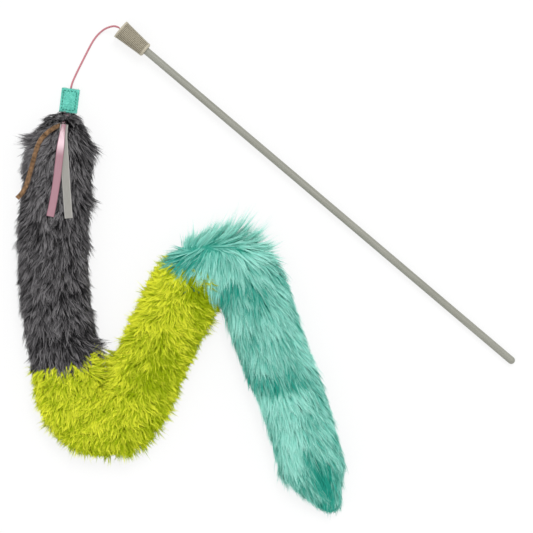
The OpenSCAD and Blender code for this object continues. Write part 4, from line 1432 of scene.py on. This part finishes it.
    def build(self) -> None:
        """Makes the backing and the pile of every zone."""
        for zone in self.zones:
            for number, (band, low, high) in enumerate(self.strips(zone)):
                made = self.backing(zone, band, low, high)
                self.attach(made, zone, low, high)
                if not number:
                    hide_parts(*zone.nodes)
        finishes = self.finishes
        for index, (coat, finish) in enumerate(((GRAY_COAT, finishes.gray_pile), (LIME_COAT, finishes.lime_pile),
                                                (TEAL_COAT, finishes.teal_pile))):
            self.grow(coat, index, finish)


@dataclass
class Tassels:
    """Satin ribbon, ribbed ribbon and suede lace, which lie over the fur.

    Lengths are in millimetres. CLEARED says for each tassel what the pile is kept clear of: its route,
    half its width, its thickness, and how far it swings each way in degrees.
    """

    finishes: Finishes
    satin_w: float = 6.4
    ribbed_w: float = 6.6
    ribbon_t: float = 0.4
    suede_w: float = 4.0
    suede_t: float = 2.2
    suede_power: float = 0.62
    rib_pitch: float = 0.85
    ribbon_columns: int = 11
    plain_edge: float = 0.45

    PIVOT = (-169.6, 119.2)
    SATIN = [[-169.4, 118.6, 24.8], [-170, 114.9, 26.4], [-170.6, 110.4, 27.8], [-171.2, 105.4, 28.4],
             [-172.2, 97.4, 28.4], [-173.4, 86.4, 28.4], [-174.8, 74.4, 28.3], [-176.6, 62.4, 28.3],
             [-178.6, 51.4, 28.3], [-180.6, 41.9, 28.3]]
    RIBBED = [[-169.2, 118.4, 23.4], [-169.5, 114.9, 25], [-169.7, 110.4, 26.6], [-169.6, 105.4, 27.4],
              [-169, 97.4, 27.4], [-168.4, 86.4, 27.4], [-167.7, 74.4, 27.4], [-166.9, 62.4, 27.4],
              [-166.1, 51.4, 27.4], [-165.2, 40.4, 27.4]]
    SUEDE = [[-172.4, 117.9, 21.7], [-174.8, 116.9, 23], [-178.7, 114.8, 24.8], [-183.2, 111.4, 25.7],
             [-187.6, 107, 25.9], [-191, 100.8, 25.8], [-193.6, 92.9, 25.8], [-195.8, 84.4, 25.8],
             [-198, 76.4, 25.8], [-200.4, 68.4, 25.8], [-203.8, 61.8, 25.8], [-208.2, 57, 25.8]]
    CLEARED = ((SATIN, 3.4, 0.8, -10, 10), (RIBBED, 3.6, 0.8, -10, 10), (SUEDE, 3.6, 2.7, -8, 10))

    def strip(self, name: str, route: Array, widths: Array, camber: float, twist: Array, ripple: float,
              material: bpy.types.Material, slot: str) -> bpy.types.Object:
        """Makes a ribbon with thickness.

        Args:
            name: Name of the piece.
            route: Its middle line, in metres.
            widths: Its width at each point of the route, in millimetres.
            camber: How far its middle stands above its edges, as a share of the width.
            twist: How far it is turned about its line at each point, in radians.
            ripple: Height of its ribs, in millimetres.
            material: Its finish.
            slot: Not used.

        Returns:
            The piece.
        """
        _, side, up = frames_along(route)
        cos, sin = np.cos(twist)[:, None], np.sin(twist)[:, None]
        side, up = side * cos + up * sin, up * cos - side * sin
        across = np.linspace(-0.5, 0.5, self.ribbon_columns)
        run = run_along(route)
        ribs = ripple * np.sin(run / (self.rib_pitch * MM) * FULL_TURN)
        bow = camber * (0.25 - across**2) * 4
        edge = np.abs(across) > self.plain_edge
        layers = []
        for face in (1, -1):
            rise = widths[:, None] * bow[None] + face * self.ribbon_t / 2
            rise = rise + np.where(edge[None], 0.0, ribs[:, None]) * face
            layers.append(route[:, None] + (side[:, None] * (widths[:, None] * across[None])[..., None]
                                            + up[:, None] * rise[..., None]) * MM)
        rings = np.concatenate([layers[0], layers[1][:, ::-1]], axis=1)
        share = across + 0.5
        return Workbench.closed(name, [rings], material, slot,
                                tube_map(np.concatenate([share, share[::-1]]), run / run[-1]))

    def build(self) -> None:
        """Makes the three tassels."""
        route = smooth_route(self.SATIN, 0.5 * MM)
        share = np.linspace(0, 1, len(route))
        widths = self.satin_w * np.interp(share, [0, 0.04, 0.24, 1], [0.55, 0.58, 1.0, 1.0])
        twist = 0.06 * np.sin(share * 7 + 0.6) + np.interp(share, [0, 0.2], [0.12, 0])
        made = self.strip("satin_ribbon_length", route, widths, 0.04, twist, 0, self.finishes.satin, "pink_satin")
        lay_cord(made, "satin_tassel", "satin_ribbon")
        route = smooth_route(self.RIBBED, 0.2 * MM)
        share = np.linspace(0, 1, len(route))
        made = self.strip("ribbed_ribbon_length", route, np.full(len(route), self.ribbed_w), 0.01,
                          0.04 * np.sin(share * 6), 0.05, self.finishes.ribbed, "gray_grosgrain")
        lay_cord(made, "ribbed_tassel", "ribbed_ribbon")
        self.lace()

    def lace(self) -> None:
        """Makes the suede lace, with a napped and slightly uneven skin."""
        route = smooth_route(self.SUEDE, 0.6 * MM)
        _, side, up = frames_along(route)
        sides = 16
        turn = np.linspace(0, FULL_TURN, sides, endpoint=False)
        rough = 1 + np.random.default_rng(5).normal(0, 0.02, (len(route), sides))
        wide = squared_off(np.cos(turn), self.suede_power) * self.suede_w / 2 * rough
        tall = squared_off(np.sin(turn), self.suede_power) * self.suede_t / 2 * rough
        twist = (0.25 * np.sin(np.linspace(0, 1, len(route)) * 5) + 0.1)[:, None]
        x, z = wide * np.cos(twist) - tall * np.sin(twist), wide * np.sin(twist) + tall * np.cos(twist)
        rings = route[:, None] + (side[:, None] * x[..., None] + up[:, None] * z[..., None]) * MM
        made = Workbench.closed("suede_lace_length", [rings], self.finishes.suede, "brown_suede")
        lay_cord(made, "suede_tassel", "suede_lace")


@dataclass
class Cord:
    """The pink cord from the cap to the tab, laid up from three strands, its knot and its sewn end.

    Lengths are in millimetres.
    """

    finishes: Finishes
    diameter: float = 1.8
    strand_r: float = 0.5
    lay: float = 4.6
    pinch: float = 0.55
    pinch_len: float = 2.5
    knot_r: float = 0.62
    knot_share: float = 0.82
    knot_depth: float = 5.1
    stub_len: float = 4.2
    end_len: float = 9.0
    end_z: float = 2.8
    clearance: float = 0.1

    ROUTE = [[-123.6, 199.3, 8.3], [-125.4, 200.6, 8.2], [-128.7, 201.4, 7.4], [-132.7, 200.8, 5.8],
             [-136.7, 199.2, 3.8], [-140.2, 196.8, 2.2], [-143.7, 193.4, 1.2], [-146.7, 189.2, 1],
             [-149.4, 184.4, 1], [-152.6, 178.2, 1], [-156, 171.4, 1], [-159, 165.4, 1.1],
             [-161.8, 159.4, 1.8], [-163.9, 154.2, 2.6], [-165.1, 149.6, 2.8]]

    def twisted(self, route: Array, pinch: float = 1.0) -> tuple[list[Array], Array]:
        """Lays three strands round a line.

        Args:
            route: The cord's middle line, in metres.
            pinch: How thick it is at its start, as a share of its thickness.

        Returns:
            The points of each strand's tube, and the map coordinates of them all.
        """
        _, side, up = frames_along(route)
        run = run_along(route)
        girth = np.interp(run, [0, self.pinch_len * MM], [pinch, 1.0])[:, None]
        away = (self.diameter / 2 - self.strand_r) * MM * girth
        tubes = []
        for strand in range(3):
            angle = (FULL_TURN * (run / (self.lay * MM) + strand / 3))[:, None]
            middle = route + away * (side * np.cos(angle) + up * np.sin(angle))
            tubes.append(ring_tube(middle, self.strand_r * MM * girth, *frames_along(middle)[1:]))
        across = np.abs(np.linspace(-1, 1, 8, endpoint=False))
        return tubes, np.vstack([tube_map(across, run / run[-1])] * 3)

    def build(self) -> None:
        """Makes the cord, its knot in the cap and its end in the tab."""
        route = smooth_route(self.ROUTE, 0.4 * MM)
        tubes, uv = self.twisted(route, self.pinch)
        made = Workbench.closed("pink_cord_length", tubes, self.finishes.cord, "pink_cord", uv)
        lay_cord(made, "cord", "cord")
        self.knot()
        self.sewn_end()

    def knot(self) -> None:
        """Makes the overhand knot in the cap, with the stub that passes the hole."""
        ahead = unit(np.array(CAP_AXIS))
        side = unit(np.cross(ahead, [0, 0, 1]))
        up = np.cross(side, ahead)
        hole = np.array(CAP_EXIT) * MM
        radius = self.knot_r * MM
        turn = np.linspace(0, FULL_TURN, 120)
        loop = np.stack([np.sin(turn) + 2 * np.sin(2 * turn), np.cos(turn) - 2 * np.cos(2 * turn),
                         -1.4 * np.sin(3 * turn)], axis=1) * radius * self.knot_share
        middle = hole + ahead * self.knot_depth * MM
        line = middle + side * loop[:, :1] + up * loop[:, 1:2] + ahead * loop[:, 2:3] * 0.8
        stub = (np.linspace(0, 1, 12)[:, None] * ahead * self.stub_len * MM + hole
                + ahead * self.clearance * MM)
        tubes = [ring_tube(line, radius, *frames_along(line)[1:], sides=10), *self.twisted(stub)[0]]
        count = sum(len(rings.reshape(-1, 3)) for rings in tubes)
        uv = np.stack([np.full(count, 0.3), np.linspace(0, 1, count)], axis=1)
        made = Workbench.closed("cord_overhand_knot", tubes, self.finishes.cord, "pink_cord", uv)
        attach(made, "wand")
        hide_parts("cord_knot")

    def sewn_end(self) -> None:
        """Makes the cord's end between the layers of felt."""
        ahead = heading_way(math.radians(TAB_HEADING))
        start = np.array([*TAB_START, self.end_z]) * MM + ahead * self.clearance * MM
        route = start + np.linspace(0, 1, 24)[:, None] * ahead * self.end_len * MM
        tubes, uv = self.twisted(route)
        made = Workbench.closed("cord_end_in_felt", tubes, self.finishes.cord, "pink_cord", uv)
        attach(made, "tail_head")
        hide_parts("cord_sewn_end")


@dataclass
class FeltTab:
    """The folded felt tab with its stitching. Lengths are in millimetres."""

    finishes: Finishes
    length: float = 19.8
    width: float = 15.0
    felt_t: float = 1.6
    room: float = 2.4
    inset: float = 2.0
    stitch_len: float = 1.7
    thread_d: float = 0.55
    fibre_count: int = 2600
    fibre_half_w: float = 0.045

    @property
    def height(self) -> float:
        """Height of the two layers and the room between them."""
        return 2 * self.felt_t + self.room

    @staticmethod
    def to_frame(points: Array) -> Array:
        """Turns points on the tab, which runs along +X from its cord end, into the frame, in metres."""
        cos, sin, _ = heading_way(math.radians(TAB_HEADING))
        x = TAB_START[0] + points[..., 0] * cos - points[..., 1] * sin
        y = TAB_START[1] + points[..., 0] * sin + points[..., 1] * cos
        return np.stack([x, y, points[..., 2]], axis=-1) * MM

    def build(self) -> None:
        """Makes the felt, its fuzz and its stitches."""
        self.felt()
        self.stitches()

    def felt(self) -> None:
        """Folds a strip of felt over, by extruding and spinning a slab in edit mode."""
        flat = self.width - self.height / 2
        fold_y = -self.width / 2 + self.height / 2
        bpy.ops.object.select_all(action="DESELECT")
        bpy.ops.mesh.primitive_cube_add(size=1, location=(0, 0, 0))
        made = bpy.context.active_object
        made.name = made.data.name = "felt_tab_fold"
        for vertex in made.data.vertices:
            vertex.co = Vector(((vertex.co.x + 0.5) * self.length, fold_y + (vertex.co.y + 0.5) * flat,
                                (vertex.co.z + 0.5) * self.felt_t))
        bpy.ops.object.mode_set(mode="EDIT")
        bpy.ops.mesh.select_mode(type="FACE")
        bpy.ops.mesh.select_all(action="DESELECT")
        shell = bmesh.from_edit_mesh(made.data)
        for face in shell.faces:
            face.normal_update()
            face.select_set(face.normal.y < -0.9)
        bmesh.update_edit_mesh(made.data)
        bpy.ops.mesh.spin(steps=10, angle=math.pi, center=(0, fold_y, self.height / 2), axis=(1, 0, 0))
        bpy.ops.mesh.extrude_region_move(TRANSFORM_OT_translate={"value": (0, flat, 0)})
        bpy.ops.mesh.select_all(action="SELECT")
        bpy.ops.mesh.remove_doubles(threshold=0.001)
        bpy.ops.mesh.normals_make_consistent(inside=False)
        bpy.ops.object.mode_set(mode="OBJECT")
        for axis, cuts in ((0, 12), (1, 9)):
            self.slice(made, axis, cuts)
        rng = np.random.default_rng(3)
        count = len(made.data.vertices)
        points = np.zeros(count * 3, np.float32)
        made.data.vertices.foreach_get("co", points)
        points = points.reshape(-1, 3).astype(float)
        points = self.pillow(points) + rng.normal(0, 0.03, (count, 3)) * [1, 1, 0.5]
        points[:, 2] = np.maximum(points[:, 2], 0)
        made.data.vertices.foreach_set("co", self.to_frame(points).astype(np.float32).ravel())
        made.data.update()
        made.data.materials.append(self.finishes.felt)
        Workbench.modify(made, "BEVEL", width=0.35 * MM, segments=2, limit_method="ANGLE", angle_limit=math.radians(50))
        for polygon in made.data.polygons:
            polygon.use_smooth = True
        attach(made, "tail_head")
        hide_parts("felt_tab")
        LOG.info("felt tab: %d faces", len(made.data.polygons))
        self.fuzz()

    @staticmethod
    def slice(made: bpy.types.Object, axis: int, cuts: int) -> None:
        """Cuts a mesh into even slices along X or Y with the bisect tool."""
        low = min(vertex.co[axis] for vertex in made.data.vertices)
        high = max(vertex.co[axis] for vertex in made.data.vertices)
        Workbench.choose(made)
        bpy.ops.object.mode_set(mode="EDIT")
        for index in range(1, cuts + 1):
            bpy.ops.mesh.select_all(action="SELECT")
            at = [0.0, 0.0, 0.0]
            at[axis] = low + (high - low) * index / (cuts + 1)
            way = [0.0, 0.0, 0.0]
            way[axis] = 1.0
            bpy.ops.mesh.bisect(plane_co=at, plane_no=way)
        bpy.ops.object.mode_set(mode="OBJECT")

    def pillow(self, points: Array) -> Array:
        """Pulls the upper layer down along the stitching, and lets it swell between."""
        edge_x = np.minimum(np.abs(points[:, 0] - self.inset), np.abs(points[:, 0] - self.length + self.inset))
        edge_y = np.minimum(np.abs(points[:, 1] - self.width / 2 + self.inset),
                            np.abs(points[:, 1] + self.width / 2 - self.inset))
        near = np.exp(-((np.minimum(edge_x, edge_y) / 0.9) ** 2))
        upper = np.clip((points[:, 2] - self.felt_t - self.room) / self.felt_t, 0, 1)
        moved = points.copy()
        moved[:, 2] -= 0.28 * near * upper
        return moved

    def fuzz(self) -> None:
        """Covers the felt with short loose fibres."""
        rng = np.random.default_rng(9)
        total = self.fibre_count
        x = rng.uniform(0, self.length, total)
        y = rng.uniform(-self.width / 2 + 0.5, self.width / 2, total)
        z = np.full(total, self.height - 0.1)
        normal = np.tile([0.0, 0.0, 1.0], (total, 1))
        side = rng.random(total)
        for low, high, axis, value, way in ((0.0, 0.1, 0, 0.0, -1), (0.1, 0.2, 0, self.length, 1),
                                            (0.2, 0.32, 1, self.width / 2, 1)):
            here = (side >= low) & (side < high)
            (x if axis == 0 else y)[here] = value
            z[here] = self.height - self.felt_t * rng.random(here.sum())
            normal[here] = np.eye(3)[axis] * way
        root = np.stack([x, y, z], 1)
        lean = unit(normal * 0.45 + rng.normal(0, 0.6, (total, 3)))
        reach = rng.uniform(0.5, 1.3, total)[:, None]
        curl = rng.normal(0, 0.25, (total, 3))
        line = np.stack([root, root + lean * reach * 0.35, root + lean * reach * 0.7 + curl * 0.4,
                         root + lean * reach + curl], 1)
        line[..., 2] = np.maximum(line[..., 2], 0.1)
        across = unit(np.cross(lean, rng.normal(0, 1, (total, 3))))[:, None] * self.fibre_half_w
        points = self.to_frame(Workbench.blades(line, across * np.array([1.0, 1.0, 0.8, 0.0])[:, None]))
        made = Workbench.strand_mesh("felt_tab_fuzz", points, np.full((*points.shape[:2], 2), 0.5),
                                     self.finishes.felt, "teal_felt")
        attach(made, "tail_head")

    def stitches(self) -> None:
        """Makes one stitch and copies it along the tab's four edges."""
        near, far, side = self.inset, self.length - self.inset, self.width / 2 - self.inset
        rows = (((near, side), (far, side), 6), ((near, -side), (far, -side), 6),
                ((near, -side), (near, side), 4), ((far, -side), (far, side), 4))
        share = np.linspace(-0.5, 0.5, 9)
        girth = self.thread_d / 2 * np.sqrt(np.maximum(0.08, 1 - (2 * share) ** 4))
        line = np.stack([share * self.stitch_len, 0 * share, 0.16 - 1.1 * share**2], axis=1)
        one = ring_tube(line, girth, np.array([0.0, 1.0, 0.0]), np.array([0.0, 0.0, 1.0]))
        tubes = []
        for (x0, y0), (x1, y1), count in rows:
            cos, sin, _ = heading_way(math.atan2(y1 - y0, x1 - x0))
            for index in range(count):
                part = (index + 0.5) / count
                x = x0 + (x1 - x0) * part + one[..., 0] * cos - one[..., 1] * sin
                y = y0 + (y1 - y0) * part + one[..., 0] * sin + one[..., 1] * cos
                tubes.append(self.to_frame(np.stack([x, y, one[..., 2] + self.height], axis=-1)))
        made = Workbench.closed("tab_stitching", tubes, self.finishes.felt_thread, "teal_thread")
        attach(made, "tail_head")
        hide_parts("tab_stitches")


@dataclass
class SmallParts:
    """Seams, root ends and closing stitches, which the pile mostly hides. Lengths are in millimetres."""

    finishes: Finishes
    line: TailLine
    ridge_r: float = 0.45
    ridge_points: int = 90
    fold_seam_lean: float = 7.25
    fold_seam_back: float = 1.4
    roots_start: float = 2.15
    roots_run: float = 8.14
    roots_top: float = 22.85
    root_gap: float = 0.3
    stitch_half: float = 2.0
    stitch_gap: float = 1.5

    def hoop(self, name: str, dist: float, body: str, node: str, finish: bpy.types.Material, slot: str) -> None:
        """Makes a seam's ridge over the sleeve."""
        angle = np.linspace(-0.36 * np.pi, 1.36 * np.pi, self.ridge_points)
        line = self.line.surface(np.full(self.ridge_points, dist), angle) * MM
        line[:, 2] = np.maximum(line[:, 2], 0.5 * MM)
        ahead = heading_way(float(self.line.place(dist)[2]))
        outward = unit(np.cross(ahead, unit(np.gradient(line, axis=0))))
        bead = 1 + 0.25 * np.sin(np.arange(self.ridge_points) * 1.3)
        rings = ring_tube(line, self.ridge_r * MM * bead, ahead * 1.5, outward)
        rings[..., 2] = np.maximum(rings[..., 2], 0)
        made = Workbench.closed(name, [rings], finish, slot)
        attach(made, body)
        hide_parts(node)

    def build(self) -> None:
        """Makes the small parts."""
        finishes, line = self.finishes, self.line
        self.hoop("gray_lime_seam_ridge", line.lime_seam_at, "gray_tail", "gray_lime_seam", finishes.gray_back,
                  "gray_fur")
        first = line.fold_at[0]
        lean = math.tan(math.radians(self.fold_seam_lean))
        self.hoop("lime_teal_seam_ridge", float(first - line.width(first) / 2 * lean - self.fold_seam_back),
                  "lime_tail", "lime_teal_seam", finishes.teal_back, "teal_fur")
        self.roots()
        self.closing_stitches()

    def roots(self) -> None:
        """Makes the tassels' folded root ends on the neck."""
        finishes = self.finishes
        share = np.linspace(0, 1, 24)
        dist = self.roots_start + self.roots_run * share
        x, y, _ = self.line.place(dist)
        crown = self.line.lift(dist) + self.line.top(dist)
        z = crown + self.root_gap * np.sqrt(1 + np.gradient(crown, dist) ** 2)
        z = z + (self.roots_top - z[-1]) * share**4
        middle = np.stack([x, y, z], 1) * MM
        _, side, up = frames_along(middle)
        ends = np.interp(share, [0, 1], [1.0, 0.5])[:, None]
        for index, (name, above, aside, wide, thick, finish, slot) in enumerate((
                ("satin_root_end", 0.5, 0.0, 5.2, 0.4, finishes.satin, "pink_satin"),
                ("ribbed_root_end", 0.0, 0.2, 5.6, 0.4, finishes.ribbed, "gray_grosgrain"),
                ("suede_root_end", -0.55, -1.6, 2.2, 0.6, finishes.suede, "brown_suede"))):
            across = (aside + np.array([0.5, 0.5, -0.5, -0.5]) * wide) * ends
            rise = above + np.array([-0.5, 0.5, 0.5, -0.5]) * thick
            rings = middle[:, None] + MM * (side[:, None] * across[..., None] + up[:, None] * rise[:, None])
            made = Workbench.closed(name, [rings], finish, slot, tube_map(np.array([1, 1, 0, 0]), share),
                                    smooth=False)
            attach(made, "tail_head")
            if not index:
                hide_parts("tassel_roots")

    def closing_stitches(self) -> None:
        """Makes the stitches that close the blunt end."""
        x, y, heading = (float(value) for value in self.line.place(self.line.end))
        ahead = heading_way(heading)
        across = np.array([ahead[1], -ahead[0], 0.0])
        rise = np.linspace(-self.stitch_half, self.stitch_half, 9)
        bowed = 0.3 - 0.08 * rise**2
        girth = 0.25 * np.sqrt(np.maximum(0.1, 1 - (rise / 2.05) ** 4))
        tubes = []
        for step in (-1, 0, 1):
            centre = np.array([x, y, self.line.blunt_h / 2]) + across * self.stitch_gap * step + ahead * 0.25
            line = centre + np.stack([ahead[0] * bowed, ahead[1] * bowed, rise], 1)
            tubes.append(ring_tube(line, girth, across, ahead) * MM)
        made = Workbench.closed("tail_closing_stitches", tubes, self.finishes.felt_thread, "teal_thread")
        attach(made, "tail_tip")
        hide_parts("tip_stitches")


@dataclass
class Studio:
    """Floor, light and camera."""

    picture_w: float = 0.44506
    focal: float = 0.2
    sensor: float = 0.036
    centre: tuple[float, float] = (-0.00112, 0.0004)
    world_strength: float = 0.74
    sun_strength: float = 1.6
    camera_lift: float = 0.012
    floor_size: float = 12.0
    floor_tone: float = 0.93
    floor_glow: float = 0.82
    lamp_z: float = 1.5

    LAMPS = (("key", 0.78, 26, (-32, 12)), ("fill", 0.22, 60, (25, -25)))

    def build(self) -> None:
        """Makes the camera, the floor and the lights."""
        scene = bpy.context.scene
        scene.view_settings.view_transform = "Standard"
        self.camera(scene)
        self.floor()
        self.lights(scene)

    def camera(self, scene: bpy.types.Scene) -> None:
        """Hangs the camera over the object, looking straight down."""
        data = bpy.data.cameras.new("camera")
        data.lens, data.sensor_width = self.focal * 1000, self.sensor * 1000
        camera = bpy.data.objects.new("camera", data)
        away = self.focal / self.sensor * self.picture_w
        camera.location = (*self.centre, away + self.camera_lift)
        data.clip_start, data.clip_end = 0.1, 20.0
        scene.collection.objects.link(camera)
        scene.camera = camera

    def floor(self) -> None:
        """Makes the white floor, which keeps a faint shadow."""
        bpy.ops.object.select_all(action="DESELECT")
        bpy.ops.mesh.primitive_plane_add(size=self.floor_size)
        floor = bpy.context.active_object
        floor.name = "floor"
        material, tree, shader = new_material("floor_white", 0.9, 0.1)
        tree.feed(shader, {"Base Color": (self.floor_tone,) * 3})
        paths = tree.add("ShaderNodeLightPath")
        seen = tree.math("MAXIMUM", paths.outputs["Is Camera Ray"],
                         tree.math("MAXIMUM", paths.outputs["Is Glossy Ray"], paths.outputs["Is Transmission Ray"]))
        glow = tree.add("ShaderNodeEmission", {"Color": (1.0, 1.0, 1.0), "Strength": 1.0}).outputs[0]
        share = tree.math("MULTIPLY", seen, self.floor_glow)
        mixed = tree.add("ShaderNodeMixShader", {0: share, 1: shader.outputs[0], 2: glow})
        sink = next(node for node in material.node_tree.nodes if node.type == "OUTPUT_MATERIAL")
        tree.feed(sink, {"Surface": mixed.outputs[0]})
        floor.data.materials.append(material)

    def lights(self, scene: bpy.types.Scene) -> None:
        """Lights the object softly and evenly."""
        world = bpy.data.worlds.new("studio")
        scene.world = world
        world.use_nodes = True
        tree = NodeTree(world.node_tree)
        background = world.node_tree.nodes["Background"]
        paths = tree.add("ShaderNodeLightPath")
        strength = tree.remap(paths.outputs["Is Camera Ray"], 0.0, 1.0, self.world_strength, 1.0)
        tree.feed(background, {"Color": (1.0, 1.0, 1.0), "Strength": strength})
        for name, strength_share, angle, lean in self.LAMPS:
            data = bpy.data.lights.new(name, "SUN")
            data.energy, data.angle = self.sun_strength * strength_share, math.radians(angle)
            lamp = bpy.data.objects.new(name, data)
            lamp.rotation_euler = (math.radians(lean[0]), math.radians(lean[1]), 0)
            lamp.location = (0, 0, self.lamp_z)
            scene.collection.objects.link(lamp)


@dataclass
class Wand:
    """The rod and its cap, which stay as the CAD model has them."""

    finishes: Finishes

    def build(self) -> None:
        """Dresses the rod and the cap."""
        for node, finish in (("rod", self.finishes.rod), ("end_cap", self.finishes.cap)):
            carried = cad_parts[node]
            for slot in carried.material_slots:
                slot.material = finish
            LOG.info("%s dressed", node)


def main() -> None:
    """Builds the whole object."""
    logging.basicConfig(level=logging.INFO, format="%(name)s: %(message)s")
    Studio().build()
    finishes = Finishes()
    tail = Tail(finishes)
    for maker in (Cord(finishes), Tassels(finishes), FeltTab(finishes), SmallParts(finishes, tail.line),
                  Wand(finishes), tail):
        maker.build()
        LOG.info("%s made", type(maker).__name__)


if __name__ == "__main__":
    main()
